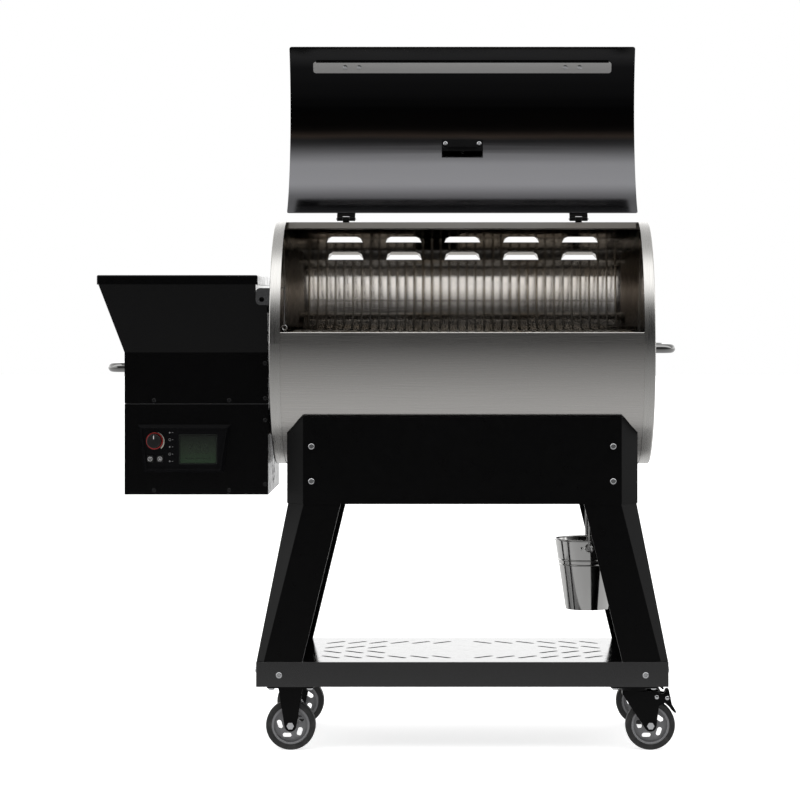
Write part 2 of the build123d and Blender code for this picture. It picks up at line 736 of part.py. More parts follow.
with BuildPart() as lid_shell:
    add(curved_sheet(OPEN_LID, LID_R, LID_OUT, LID_START, LID_END, LID_HALF))
    corner_edges = lid_shell.edges().filter_by(lambda edge: abs(edge.length - SKIN) < 0.01)
    fillet(corner_edges, 5.0)
    for along, angle in LID_SCREWS:
        with Locations(on_skin(OPEN_LID, angle, LID_R).location * Pos(along, 0, 0)):
            Cylinder(LID_HOLE_R, 8 * SKIN, mode=Mode.SUBTRACT)
    with Locations(on_skin(OPEN_LID, DIAL_ANGLE, LID_R).location):
        Cylinder(STEM_R + HOLE_GAP, 8 * SKIN, mode=Mode.SUBTRACT)
    with Locations(on_skin(OPEN_LID, GUARD_ANGLE, LID_R).location):
        for along in (-GUARD_SCREW_X, GUARD_SCREW_X):
            with Locations((along, GUARD_SCREW_Y)):
                Cylinder(LID_HOLE_R, 8 * SKIN, mode=Mode.SUBTRACT)
save(lid_shell.part, "lid_shell")

with BuildPart() as lid_inner_strip:
    add(
        curved_sheet(
            OPEN_LID, LID_R - STRIP_T, LID_R, HANDLE_ANGLE - STRIP_SPAN, HANDLE_ANGLE + STRIP_SPAN, STRIP_HALF
        )
    )
    corner_edges = lid_inner_strip.edges().filter_by(lambda edge: abs(edge.length - STRIP_T) < 0.01)
    fillet(corner_edges, STRIP_CORNER_R)
    # Stiffening flange along the edge nearest the lid's front
    add(
        curved_sheet(
            OPEN_LID,
            LID_R - 8,
            LID_R - STRIP_T / 2,
            HANDLE_ANGLE - STRIP_SPAN,
            HANDLE_ANGLE - STRIP_SPAN + 0.4,
            STRIP_HALF - STRIP_CORNER_R,
        )
    )
    for along, angle in LID_SCREWS:
        with Locations(on_skin(OPEN_LID, angle, LID_R).location * Pos(along, 0, 0)):
            Cylinder(LID_HOLE_R, 8 * SKIN, mode=Mode.SUBTRACT)
save(lid_inner_strip.part, "lid_inner_strip")

grip = on_skin(OPEN_LID, HANDLE_ANGLE, LID_OUT)
with BuildPart() as lid_handle:
    with Locations(grip.location * Location((0, 0, HANDLE_STAND), (0, 90, 0))):
        Cylinder(HANDLE_BAR_R, 2 * STRIP_HALF)
        fillet(lid_handle.edges().filter_by(GeomType.CIRCLE), 3.0)
    for post_x in (-POST_X, POST_X):
        with BuildSketch(Plane(grip.location * Pos(post_x, 0, 0.6))):
            RectangleRounded(46.0, 22.0, 6.0)
        extrude(amount=HANDLE_STAND - 4.0, taper=6.0)
        for screw_x in (-15.0, 15.0):
            with Locations(grip.location * Pos(post_x + screw_x, 0, 0)):
                Cylinder(LID_HOLE_R, 30.0, mode=Mode.SUBTRACT)
save(lid_handle.part, "lid_handle")

lid_screw = fastener(5.0, 3.0, 2.5, 12.0)
with BuildPart() as lid_screws:
    for along, angle in LID_SCREWS:
        seat = on_skin(OPEN_LID, angle, LID_R - STRIP_T - 0.06).location
        with Locations(seat * Location((along, 0, 0), (180, 0, 0))):
            add(lid_screw)
    seat = on_skin(OPEN_LID, GUARD_ANGLE, LID_R - 2.5).location
    for along in (-GUARD_SCREW_X, GUARD_SCREW_X):
        with Locations(seat * Location((along, GUARD_SCREW_Y, 0), (180, 0, 0))):
            add(fastener(5.0, 3.0, 2.5, 6.0))
save(lid_screws.part, "lid_screws")

guard_seat = on_skin(OPEN_LID, GUARD_ANGLE, LID_R)
with BuildPart() as probe_guard:
    with BuildSketch(Plane(guard_seat.location * Location((0, 0, 0), (90, 90, 0)))):
        with BuildLine():
            Polyline(*GUARD_FOLDS)
        trace(line_width=SKIN)
    extrude(amount=GUARD_WIDTH / 2, both=True)
    with Locations(guard_seat.location):
        for along in (-GUARD_SCREW_X, GUARD_SCREW_X):
            with Locations((along, GUARD_SCREW_Y)):
                Cylinder(LID_HOLE_R, 20.0, mode=Mode.SUBTRACT)
save(probe_guard.part, "probe_guard")

dial_seat = on_skin(OPEN_LID, DIAL_ANGLE, LID_OUT + 0.6)
with BuildPart() as thermometer:
    with Locations(dial_seat.location):
        Cylinder(31.0, 13.0, align=(Align.CENTER, Align.CENTER, Align.MIN))
        fillet(thermometer.edges().filter_by(GeomType.CIRCLE), 2.0)
        with Locations((0, 0, 11.5)):
            Cylinder(27.0, 3.0, align=(Align.CENTER, Align.CENTER, Align.MIN), mode=Mode.SUBTRACT)
        Cylinder(STEM_R, 0.6 + SKIN + STEM_REACH, align=(Align.CENTER, Align.CENTER, Align.MAX))
save(thermometer.part, "thermometer")

# ---------------------------------------------------------------- lid hinges
KNUCKLE_R = 4.5
PIN_R = 2.0
HINGE_HALF = 19.0
MIDDLE_HALF = 7.0
LEAF_END = 98.4  # the lid's leaf stops just clear of the middle knuckle
LID_LINE = (HINGE_Y, HINGE_Z)


def knuckle(x, half, line=LID_LINE):
    """Hollow hinge barrel along X about a hinge line given by its Y and Z."""
    with BuildPart() as barrel:
        with Locations(Location((DRUM_X + x, *line), (0, 90, 0))):
            Cylinder(KNUCKLE_R, 2 * half)
            Cylinder(PIN_R + PIN_GAP, 2 * half, mode=Mode.SUBTRACT)
    return barrel.part


def drum_leaf(x):
    """Leaf on the drum with its middle knuckle on a short web."""
    with BuildPart() as leaf:
        add(curved_sheet(DRUM, DRUM_R, DRUM_R + SHEET, 99.0, 107.0, HINGE_HALF, x))
        add(curved_sheet(DRUM, DRUM_R, HINGE_R - PIN_R - 1.0, 98.8, 99.6, MIDDLE_HALF - 0.2, x))
        add(knuckle(x, MIDDLE_HALF - 0.2))
    return leaf.part


def lid_leaf(x):
    """Leaf on the lid's outside with a knuckle at each end."""
    outer_half = (HINGE_HALF - MIDDLE_HALF) / 2
    with BuildPart() as leaf:
        add(curved_sheet(OPEN_LID, LID_OUT, LID_OUT + SHEET, 89.0, LEAF_END, HINGE_HALF, x))
        for side in (-1, 1):
            middle = x + side * (MIDDLE_HALF + outer_half)
            add(curved_sheet(OPEN_LID, LID_OUT, HINGE_R - PIN_R - 1.5, 95.0, HINGE_ANGLE, outer_half, middle))
            add(knuckle(middle, outer_half))
    return leaf.part


save(Compound(children=[drum_leaf(-HINGE_X), drum_leaf(HINGE_X)]), "drum_hinge_leaves")
save(Compound(children=[lid_leaf(-HINGE_X), lid_leaf(HINGE_X)]), "lid_hinge_leaves")

# ---------------------------------------------------------------- cooking chamber
ROD_R = 2.5
ROD_HALF = 238.0
ROD_PITCH = 19.2
ROD_COUNT = 36
CROSS_ROD_R = 3.0
CROSS_RODS = (-170.0, 0.0, 170.0)
SIT_HALF = 358.0  # half length of what lies on the ledges
TRAY = (205.0, 14.0)  # half depth and height
FUNNEL_TOP = 766.0
SPOUT_END = 530.0
POT_TOP = 690.0
POT_FLOOR = 600.0
IGNITER_Z = 618.0
IGNITER_R = 5.0
BAFFLE_LEFT = -210.0
BAFFLE_RIGHT = 90.0
BAFFLE_EAVE = 705.0
BAFFLE_RIDGE = 745.0
BAFFLE_HALF = 110.0

with BuildPart() as main_grate:
    with Locations(Pos(DRUM_X, 0, LEDGE_GRATE + 2 * CROSS_ROD_R + ROD_R - 0.5)):
        with GridLocations(ROD_PITCH, 1, ROD_COUNT, 1):
            Cylinder(ROD_R, 2 * ROD_HALF, rotation=(90, 0, 0))
    for row_y in CROSS_RODS:
        with Locations(Pos(DRUM_X, row_y, LEDGE_GRATE + CROSS_ROD_R)):
            Cylinder(CROSS_ROD_R, 2 * SIT_HALF, rotation=(0, 90, 0))
save(main_grate.part, "main_grate")

with BuildPart() as drip_tray:
    up = (Align.CENTER, Align.CENTER, Align.MIN)
    with Locations(Pos(DRUM_X, 0, LEDGE_TRAY)):
        Box(2 * SIT_HALF, 2 * TRAY[0], TRAY[1], align=up)
    fillet(drip_tray.edges().filter_by(Axis.Z), 10.0)
    fillet(drip_tray.faces().sort_by(Axis.Z)[0].edges(), 3.0)
    offset(amount=-SHEET, openings=drip_tray.faces().sort_by(Axis.Z)[-1])
    with Locations(Pos(DRUM_X + BUCKET_X, 0, LEDGE_TRAY)):
        Cylinder(SPOUT_R, 20.0, mode=Mode.SUBTRACT)
save(drip_tray.part, "drip_tray")


def chamber_space():
    """Everything inside the drum's skin; pieces that stand on it are trimmed to this."""
    with BuildPart() as space:
        with BuildSketch(DRUM):
            Circle(DRUM_R - SKIN)
        extrude(amount=BAND_INNER, both=True)
    return space.part


with BuildPart() as fire_pot:
    with BuildSketch(CART.offset(DRUM_Z - DRUM_R)):
        with Locations((POT_X, 0)):
            Circle(POT_R)
            Circle(POT_R - SHEET, mode=Mode.SUBTRACT)
    extrude(amount=POT_TOP - DRUM_Z + DRUM_R)
    with BuildSketch(CART.offset(POT_FLOOR)):
        with Locations((POT_X, 0)):
            Circle(POT_R - SHEET / 2)
    extrude(amount=SHEET)
    add(chamber_space(), mode=Mode.INTERSECT)
    for height, radius in ((AUGER_Z, AUGER_HOLE_R), (IGNITER_Z, IGNITER_R + HOLE_GAP)):
        with Locations(Location((DRUM_X + POT_X - POT_R, 0, height), (0, 90, 0))):
            Cylinder(radius, 30.0, mode=Mode.SUBTRACT)
    # Air holes round the pot
    for turn in range(-140, 141, 20):
        with Locations(Location((DRUM_X + POT_X, 0, POT_FLOOR + 12), (0, 90, turn))):
            Cylinder(2.5, 200.0, align=(Align.CENTER, Align.CENTER, Align.MIN), mode=Mode.SUBTRACT)
save(fire_pot.part, "fire_pot")

save(
    rod(
        (DRUM_X + BAFFLE_LEFT - 15, 0, IGNITER_Z),
        (DRUM_X + POT_X - POT_R + 22, 0, IGNITER_Z),
        IGNITER_R,
    ),
    "igniter_rod",
)

with BuildPart() as heat_baffle:
    upright = Plane(origin=(DRUM_X, 0, 0), x_dir=(1, 0, 0), z_dir=(0, -1, 0))
    floor = DRUM_Z - DRUM_R
    with BuildSketch(upright):
        with BuildLine():
            Polyline(
                (BAFFLE_LEFT, floor),
                (BAFFLE_LEFT, BAFFLE_EAVE),
                (POT_X, BAFFLE_RIDGE),
                (BAFFLE_RIGHT, BAFFLE_EAVE),
                (BAFFLE_RIGHT, floor),
            )
        trace(line_width=SHEET)
    extrude(amount=BAFFLE_HALF, both=True)
    add(chamber_space(), mode=Mode.INTERSECT)
    for height, radius in ((AUGER_Z, AUGER_HOLE_R), (IGNITER_Z, IGNITER_R + HOLE_GAP)):
        with Locations(Location((DRUM_X + BAFFLE_LEFT, 0, height), (0, 90, 0))):
            Cylinder(radius, 20.0, mode=Mode.SUBTRACT)
save(heat_baffle.part, "heat_baffle")

PROBE_AT = (-357.0, -215.0)
PROBE_SPAN = (856.0, 934.0)

with BuildPart() as temperature_probe:
    with Locations(Pos(DRUM_X + PROBE_AT[0], PROBE_AT[1], PROBE_SPAN[0])):
        Cylinder(1.6, PROBE_SPAN[1] - PROBE_SPAN[0], align=(Align.CENTER, Align.CENTER, Align.MIN))
    with Locations(Location((DRUM_X + PROBE_AT[0], PROBE_AT[1], PROBE_SPAN[0] - 4.5), (90, 0, 0))):
        Torus(4.8, 1.2)
    # Clip that holds the probe to the end of the drum
    with Locations(Pos(DRUM_X - DRUM_HALF + SKIN, PROBE_AT[1], PROBE_SPAN[1] - 3)):
        Box(DRUM_HALF - SKIN + PROBE_AT[0] + 3, 5.0, 2.0, align=(Align.MIN, Align.CENTER, Align.CENTER))
save(temperature_probe.part, "temperature_probe")

# ---------------------------------------------------------------- drain and bucket
HOOK = (12.0, 4.0)  # width along Y and thickness of the hook strap
WIRE_R = 1.5
WIRE_SIDE = 71.0
BUCKET_WALL = 1.0
BEADS = (369.0, 359.5)

with BuildPart() as drain_spout:
    with BuildSketch(Plane(origin=(DRUM_X + BUCKET_X, 0, 0), x_dir=(1, 0, 0), z_dir=(0, -1, 0))):
        with BuildLine():
            Polyline(
                (SPOUT_R - 2, SPOUT_END),
                (SPOUT_R, SPOUT_END),
                (SPOUT_R, FUNNEL_TOP - 30),
                (SPOUT_R + 13, FUNNEL_TOP),
                (SPOUT_R + 11, FUNNEL_TOP),
                (SPOUT_R - 2, FUNNEL_TOP - 29),
                close=True,
            )
        make_face()
    revolve(axis=Axis((DRUM_X + BUCKET_X, 0, 0), (0, 0, 1)))
    with Locations(Pos(DRUM_X + BUCKET_X, 0, DRUM_Z - DRUM_R - 7)):
        Cylinder(24.0, 6.0, align=up)
    with Locations(Pos(DRUM_X + BUCKET_X, 0, SPOUT_END)):
        Cylinder(SPOUT_R - 2, 2 * DRUM_R, mode=Mode.SUBTRACT)
    # Hook strap for the bucket's bail
    saddle = BAIL_TOP - WIRE_R - 0.3
    with BuildSketch(Plane(origin=(DRUM_X + BUCKET_X, 0, 0), x_dir=(1, 0, 0), z_dir=(0, -1, 0))):
        with BuildLine():
            Polyline(
                (SPOUT_R + 0.5, SPOUT_END + 14),
                (SPOUT_R + 0.5, saddle - HOOK[1] / 2),
                (-14.0, saddle - HOOK[1] / 2),
                (-14.0, saddle + 7),
            )
        trace(line_width=HOOK[1])
    extrude(amount=HOOK[0] / 2, both=True)
    with Locations(Pos(DRUM_X + BUCKET_X, 0, SPOUT_END)):
        Cylinder(SPOUT_R - 2, 60.0, mode=Mode.SUBTRACT, align=up)
save(drain_spout.part, "drain_spout")

taper = (BUCKET_TOP_R - BUCKET_BASE_R) / (BUCKET_RIM - BUCKET_BASE)


def bucket_radius(height):
    """Outside radius of the tapered pail at a height."""
    return BUCKET_BASE_R + taper * (height - BUCKET_BASE)


PAIL_SIDE = Plane(origin=(DRUM_X + BUCKET_X, 0, 0), x_dir=(1, 0, 0), z_dir=(0, -1, 0))
with BuildPart() as bucket:
    with BuildSketch(PAIL_SIDE):
        with BuildLine():
            Polyline(
                (0, BUCKET_BASE + 2),
                (BUCKET_BASE_R - 2, BUCKET_BASE + 2),
                (BUCKET_BASE_R - 2, BUCKET_BASE),
                (BUCKET_BASE_R, BUCKET_BASE),
                (BUCKET_TOP_R, BUCKET_RIM),
                (BUCKET_TOP_R - BUCKET_WALL, BUCKET_RIM),
                (BUCKET_BASE_R - BUCKET_WALL, BUCKET_BASE + 3),
                (0, BUCKET_BASE + 3),
                close=True,
            )
        make_face()
        with Locations((BUCKET_TOP_R, BUCKET_RIM - 2)):
            Circle(2.0)
        for bead in BEADS:
            with Locations((bucket_radius(bead) - 0.2, bead)):
                Circle(1.8)
    revolve(axis=Axis((DRUM_X + BUCKET_X, 0, 0), (0, 0, 1)))
    # Ears for the bail, one in front and one behind
    for side in (-1, 1):
        with Locations(Location((DRUM_X + BUCKET_X, side * (bucket_radius(EAR_Z) - 1.4), EAR_Z), (90, 0, 0))):
            Cylinder(8.0, 5.0)
            Cylinder(WIRE_R + PIN_GAP, 20.0, mode=Mode.SUBTRACT)
save(bucket.part, "bucket")

with BuildPart() as bucket_bail:
    with BuildLine(Plane(origin=(DRUM_X + BUCKET_X, 0, 0), x_dir=(0, 1, 0), z_dir=(1, 0, 0))) as bail_line:
        inner = bucket_radius(EAR_Z) - 2.5
        FilletPolyline(
            (-inner, EAR_Z),
            (-WIRE_SIDE, EAR_Z),
            (-WIRE_SIDE, BAIL_TOP),
            (WIRE_SIDE, BAIL_TOP),
            (WIRE_SIDE, EAR_Z),
            (inner, EAR_Z),
            radius=(3.0, 58.0, 58.0, 3.0),
        )
    with BuildSketch(Plane(origin=bail_line.line @ 0, z_dir=bail_line.line % 0)):
        Circle(WIRE_R)
    sweep()
save(bucket_bail.part, "bucket_bail")

# ---------------------------------------------------------------- hopper
THROAT = (-605.0, -525.0, 25.0)  # left, right and half depth of the auger's filling collar
THROAT_TOP = 698.0
BAND_LOW = 790.0
BOX_SCREWS = [(-399.0, 664.0), (-399.0, 534.0), (-624.0, 522.0), (-472.0, 522.0)]
BIN_SCREWS = [(-624.0, 704.0), (-472.0, 704.0), (-399.0, 779.0), (-399.0, 708.0)]
SCREW_HOLE_R = 2.3
BIN_STANDOFFS = [(-95.0, 765.0), (115.0, 765.0), (-95.0, 890.0), (115.0, 890.0)]
BOX_STANDOFFS = [(-100.0, 648.0), (100.0, 648.0)]
STANDOFF_R = 9.0
STANDOFF = SKIN - BOX_RIGHT - DRUM_HALF
BIN_LINE = (193.0, 943.0)  # Y and Z of the hopper lid's hinge line
BIN_HINGES = (-660.0, -486.0)
BOX_FACE = Plane(origin=(DRUM_X, BOX_FRONT, 0), x_dir=(1, 0, 0), z_dir=(0, -1, 0))


def footprint(left, right, front, back):
    """Plan rectangle by its four sides, X measured from the drum's middle."""
    with Locations(((left + right) / 2, (front + back) / 2)):
        Rectangle(right - left, back - front)


def tapered_box(low, low_z, high, high_z):
    """Solid between two plan rectangles."""
    with BuildPart() as block:
        with BuildSketch(CART.offset(low_z)):
            footprint(*low)
        with BuildSketch(CART.offset(high_z)):
            footprint(*high)
        loft(ruled=True)
    return block.part


def flared(inset, left, right, height):
    """The bin's plan at a height in its flare, drawn in by inset."""
    out = FLARE * max(0.0, (height - FLARE_BOTTOM) / (FLARE_TOP - FLARE_BOTTOM))
    return (left - out * (left == BOX_LEFT + inset), right, BOX_FRONT - out + inset, BOX_BACK - inset)


with BuildPart() as hopper_bin:
    straight = flared(0.0, BOX_LEFT, BOX_RIGHT, FLARE_BOTTOM)
    shoulder = flared(0.0, BOX_LEFT, BOX_RIGHT, SHOULDER_TOP)
    mouth_low = flared(0.0, BOX_LEFT, BIN_RIGHT, SHOULDER_TOP)
    mouth = flared(0.0, BOX_LEFT, BIN_RIGHT, FLARE_TOP)
    add(tapered_box(straight, BOX_SEAM + 0.4, straight, FLARE_BOTTOM))
    add(tapered_box(straight, FLARE_BOTTOM, shoulder, SHOULDER_TOP))
    add(tapered_box(mouth_low, SHOULDER_TOP, mouth, FLARE_TOP))
    add(tapered_box(mouth, FLARE_TOP, mouth, RIM_TOP))
    # Bin's inside
    inner_left = BOX_LEFT + SKIN
    inner_right = BIN_RIGHT - SKIN
    inner_low = flared(SKIN, inner_left, inner_right, FLARE_BOTTOM)
    inner_high = flared(SKIN, inner_left, inner_right, FLARE_TOP)
    add(tapered_box(inner_low, BOX_SEAM, inner_low, FLARE_BOTTOM), mode=Mode.SUBTRACT)
    add(tapered_box(inner_low, FLARE_BOTTOM, inner_high, FLARE_TOP), mode=Mode.SUBTRACT)
    add(tapered_box(inner_high, FLARE_TOP, inner_high, RIM_TOP + 1), mode=Mode.SUBTRACT)
    # Shoulder's inside
    space_low = (BIN_RIGHT + SKIN, BOX_RIGHT - SKIN, BOX_FRONT + SKIN, BOX_BACK - SKIN)
    space_high = flared(SKIN, BIN_RIGHT + SKIN, BOX_RIGHT - SKIN, SHOULDER_TOP - SKIN)
    add(tapered_box(space_low, BOX_SEAM, space_low, FLARE_BOTTOM), mode=Mode.SUBTRACT)
    add(tapered_box(space_low, FLARE_BOTTOM, space_high, SHOULDER_TOP - SKIN), mode=Mode.SUBTRACT)
    # Sloping chute to the auger's collar
    seam = (inner_left - 0.5, inner_right + 0.5, BOX_FRONT + SKIN - 0.5, BOX_BACK - SKIN + 0.5)
    seam_inside = (inner_left + SKIN, inner_right - SKIN, BOX_FRONT + 2 * SKIN, BOX_BACK - 2 * SKIN)
    throat = (THROAT[0] + 2, THROAT[1] - 2, -THROAT[2] + 2, THROAT[2] - 2)
    throat_inside = (throat[0] + SKIN, throat[1] - SKIN, throat[2] + SKIN, throat[3] - SKIN)
    add(tapered_box(throat, THROAT_TOP + 2, seam, BAND_LOW))
    add(tapered_box(seam, BAND_LOW, seam, BAND_LOW + 8))
    add(tapered_box(throat_inside, THROAT_TOP + 1.9, seam_inside, BAND_LOW), mode=Mode.SUBTRACT)
    add(tapered_box(seam_inside, BAND_LOW, seam_inside, BAND_LOW + 9), mode=Mode.SUBTRACT)
    drill(BOX_FACE, BIN_SCREWS, SCREW_HOLE_R, 2 * SKIN)
    # Standoffs that touch the end of the drum
    for foot_y, foot_z in BIN_STANDOFFS:
        with Locations(Location((DRUM_X + BOX_RIGHT - SKIN, foot_y, foot_z), (0, 90, 0))):
            Cylinder(STANDOFF_R, STANDOFF, align=up)
    # Hinge leaves behind, each carrying its middle knuckle on an arm
    for hinge_x in BIN_HINGES:
        with Locations(Pos(DRUM_X + hinge_x, BOX_BACK, 918)):
            Box(2 * HINGE_HALF, 1.5, 26, align=(Align.CENTER, Align.MIN, Align.CENTER))
        with BuildSketch(Plane(origin=(DRUM_X + hinge_x, 0, 0), x_dir=(0, 1, 0), z_dir=(1, 0, 0))):
            with BuildLine():
                Polyline((BOX_BACK + 0.75, 922), (BIN_LINE[0], 936.5), (BIN_LINE[0], BIN_LINE[1] - 3.2))
            trace(line_width=1.8)
        extrude(amount=MIDDLE_HALF - 0.2, both=True)
        add(knuckle(hinge_x, MIDDLE_HALF - 0.2, BIN_LINE))
save(hopper_bin.part, "hopper_bin")

with BuildPart() as hopper_lid:
    left, right, front, back = (-LEFT_REACH, BIN_RIGHT + 4.0, -211.5, 188.0)
    with BuildSketch(CART.offset(FLARE_TOP)):
        footprint(left, right, front, back)
    extrude(amount=HOPPER_LID_TOP - FLARE_TOP)
    fillet(hopper_lid.edges().filter_by(Axis.Z), 4.0)
    fillet(hopper_lid.faces().sort_by(Axis.Z)[-1].edges(), 3.0)
    offset(amount=-SKIN, openings=hopper_lid.faces().sort_by(Axis.Z)[0])
    outer_half = (HINGE_HALF - MIDDLE_HALF) / 2
    for hinge_x in BIN_HINGES:
        for side in (-1, 1):
            middle = hinge_x + side * (MIDDLE_HALF + outer_half)
            with Locations(Pos(DRUM_X + middle, back - SKIN / 2, BIN_LINE[1])):
                Box(2 * outer_half, BIN_LINE[0] - back, 5.0, align=(Align.CENTER, Align.MIN, Align.CENTER))
            with Locations(Location((DRUM_X + middle, *BIN_LINE), (0, 90, 0))):
                Cylinder(KNUCKLE_R, 2 * outer_half)
                Cylinder(PIN_R + PIN_GAP, 2 * outer_half, mode=Mode.SUBTRACT)
save(hopper_lid.part, "hopper_lid")

pin_half = HINGE_HALF + 2.0
pins = []
for hinge_x, line in [(x, LID_LINE) for x in (-HINGE_X, HINGE_X)] + [(x, BIN_LINE) for x in BIN_HINGES]:
    pins.append(rod((DRUM_X + hinge_x - pin_half, *line), (DRUM_X + hinge_x + pin_half, *line), PIN_R))
save(Compound(children=pins), "hinge_pins")

# ---------------------------------------------------------------- controller
BEZEL_LOW = 557.6
BEZEL_HIGH = 655.0
BEZEL = ((-645.0, -482.6), (-657.0, -468.6))  # left and right ends of the lower and upper edges
BEZEL_RISE = 10.0
RIDGE = 6.0  # width of the sloping side
FACE_INSET = 8.0
FACE_DEPTH = 4.0
FACE_T = 2.5
KNOB_AT = (-622.7, 622.0)
KNOB_R = 14.5
KNOB_H = 16.0
SHAFT_R = 3.0
BUTTONS = {"left": (-631.4, 585.6), "right": (-611.5, 585.6)}
BUTTON = 13.4
DISPLAY = (-571.0, -498.0, 577.0, 633.0)
GLAND_AT = (-640.0, 545.0)
VENT = (44.0, 5.0, 12.0)


def bezel_outline(inset):
    """Trapezoid of the bezel, drawn in by inset; X from the drum's middle, Z as height."""
    (low_left, low_right), (high_left, high_right) = BEZEL
    return [
        (low_left + inset, BEZEL_LOW + inset),
        (low_right - inset, BEZEL_LOW + inset),
        (high_right - 1.1 * inset, BEZEL_HIGH - inset),
        (high_left + 1.1 * inset, BEZEL_HIGH - inset),
    ]


def bezel_block(low, low_rise, high, high_rise):
    """Solid between two of the bezel's outlines at two distances in front of the box."""
    with BuildPart() as block:
        for inset, rise in ((low, low_rise), (high, high_rise)):
            with BuildSketch(BOX_FACE.offset(rise)):
                Polygon(*bezel_outline(inset), align=None)
        loft(ruled=True)
    return block.part


face_rise = BEZEL_RISE - FACE_DEPTH
with BuildPart() as control_box:
    with BuildSketch(CART.offset(BOX_BOTTOM)):
        footprint(BOX_LEFT, BOX_RIGHT, BOX_FRONT, BOX_BACK)
    extrude(amount=BOX_SEAM - 0.4 - BOX_BOTTOM)
    offset(amount=-SKIN, openings=control_box.faces().sort_by(Axis.Z)[-1])
    add(bezel_block(4.0, 1.0, 4.0, -4.0), mode=Mode.SUBTRACT)
    drill(BOX_FACE, BOX_SCREWS, SCREW_HOLE_R, 2 * SKIN)
    with Locations(Location((DRUM_X + BOX_RIGHT, 0, AUGER_Z), (0, 90, 0))):
        Cylinder(AUGER_HOLE_R, 6.0, mode=Mode.SUBTRACT)
    for foot_y, foot_z in BOX_STANDOFFS:
        with Locations(Location((DRUM_X + BOX_RIGHT - SKIN, foot_y, foot_z), (0, 90, 0))):
            Cylinder(STANDOFF_R, STANDOFF, align=up)
    # Air slots in the floor and the back
    with Locations(Pos(DRUM_X - 540.0, 60.0, BOX_BOTTOM)):
        with GridLocations(VENT[0] + 14, VENT[2], 3, 7):
            Box(VENT[0], VENT[1], 3 * SKIN, mode=Mode.SUBTRACT)
    with Locations(Pos(DRUM_X - 500.0, BOX_BACK, 600.0)):
        with GridLocations(VENT[0] + 14, 1, 3, 1):
            for row in range(5):
                with Locations(Pos(0, 0, row * VENT[2])):
                    Box(VENT[0], 3 * SKIN, VENT[1], mode=Mode.SUBTRACT)
    # Round intake holes beside the fan
    with Locations(Location((DRUM_X + BOX_RIGHT, 0, FAN_Z), (0, 90, 0))):
        with PolarLocations(20.0, 6):
            Cylinder(6.0, 6.0, mode=Mode.SUBTRACT)
        with PolarLocations(38.0, 12):
            Cylinder(6.0, 6.0, mode=Mode.SUBTRACT)
    # Gland where the supply lead would enter
    with Locations(Location((DRUM_X + GLAND_AT[0], BOX_BACK - SKIN, GLAND_AT[1]), (-90, 0, 0))):
        Cylinder(12.0, 3.0 + SKIN, align=up)
        Cylinder(9.0, 14.0, align=up)
        Cylinder(4.0, 40.0, mode=Mode.SUBTRACT)
save(control_box.part, "control_box")

with BuildPart() as hopper_screws:
    for across, height in BOX_SCREWS + BIN_SCREWS:
        with Locations(BOX_FACE.location * Pos(across, height, 0.05)):
            add(fastener(SCREW_HEAD_R, 1.8, 2.0, 7.0))
save(hopper_screws.part, "hopper_screws")

with BuildPart() as control_bezel:
    add(bezel_block(0.0, 0.1, RIDGE, BEZEL_RISE))
    add(bezel_block(3.0, 0.0, 5.0, face_rise - FACE_T), mode=Mode.SUBTRACT)
    add(bezel_block(FACE_INSET, face_rise, FACE_INSET, BEZEL_RISE + 1), mode=Mode.SUBTRACT)
    with Locations(BOX_FACE.location * Pos(*KNOB_AT, 0)):
        Cylinder(SHAFT_R + PIN_GAP, 40.0, mode=Mode.SUBTRACT)
    for place in BUTTONS.values():
        with BuildSketch(BOX_FACE):
            with Locations(place):
                RectangleRounded(BUTTON + 0.6, BUTTON + 0.6, 2.3)
        extrude(amount=20.0, mode=Mode.SUBTRACT)
    left, right, low, high = DISPLAY
    with Locations(BOX_FACE.location * Pos((left + right) / 2, (low + high) / 2, 0)):
        Box(right - left, high - low, 40.0, mode=Mode.SUBTRACT)
save(control_bezel.part, "control_bezel")

with BuildPart() as control_display:
    with Locations(BOX_FACE.location * Pos((left + right) / 2, (low + high) / 2, face_rise - 0.8)):
        Box(right - left - 0.3, high - low - 0.3, 5.0, align=(Align.CENTER, Align.CENTER, Align.MAX))
save(control_display.part, "control_display")

with BuildPart() as control_knob:
    with Locations(BOX_FACE.location * Pos(*KNOB_AT, face_rise + 0.4)):
        Cylinder(KNOB_R, KNOB_H, align=up)
        fillet(control_knob.edges().filter_by(GeomType.CIRCLE).sort_by(Axis.Y)[0], 2.5)
        with PolarLocations(KNOB_R + 1.0, 20):
            Cylinder(1.6, KNOB_H * 2, mode=Mode.SUBTRACT)
        Cylinder(SHAFT_R, 11.0, align=(Align.CENTER, Align.CENTER, Align.MAX))
save(control_knob.part, "control_knob")

for name, place in BUTTONS.items():
    with BuildPart() as button:
        with BuildSketch(BOX_FACE.offset(face_rise - FACE_T - 1.5)):
            with Locations(place):
                RectangleRounded(BUTTON, BUTTON, 2.0)
        extrude(amount=FACE_T + 3.5)
        fillet(button.faces().sort_by(Axis.Y)[0].edges(), 0.8)
        with BuildSketch(BOX_FACE.offset(face_rise - FACE_T - 0.2)):
            with Locations(place):
                Rectangle(BUTTON + 4.0, BUTTON + 4.0)
        extrude(amount=-1.4)
    save(button.part, f"button_{name}")

# ---------------------------------------------------------------- pellet feed and fan
TUBE_LEFT = -640.0
TUBE_RIGHT = -112.0
TUBE_WALL = 2.0
SCREW_LEFT = -642.0
SCREW_RIGHT = -128.0
SCREW_SHAFT_R = 7.0
FLIGHT_R = 22.5
FLIGHT_PITCH = 44.0
FLIGHT_T = 2.5
ALONG_X = Plane(origin=(DRUM_X, 0, AUGER_Z), x_dir=(0, 1, 0), z_dir=(1, 0, 0))

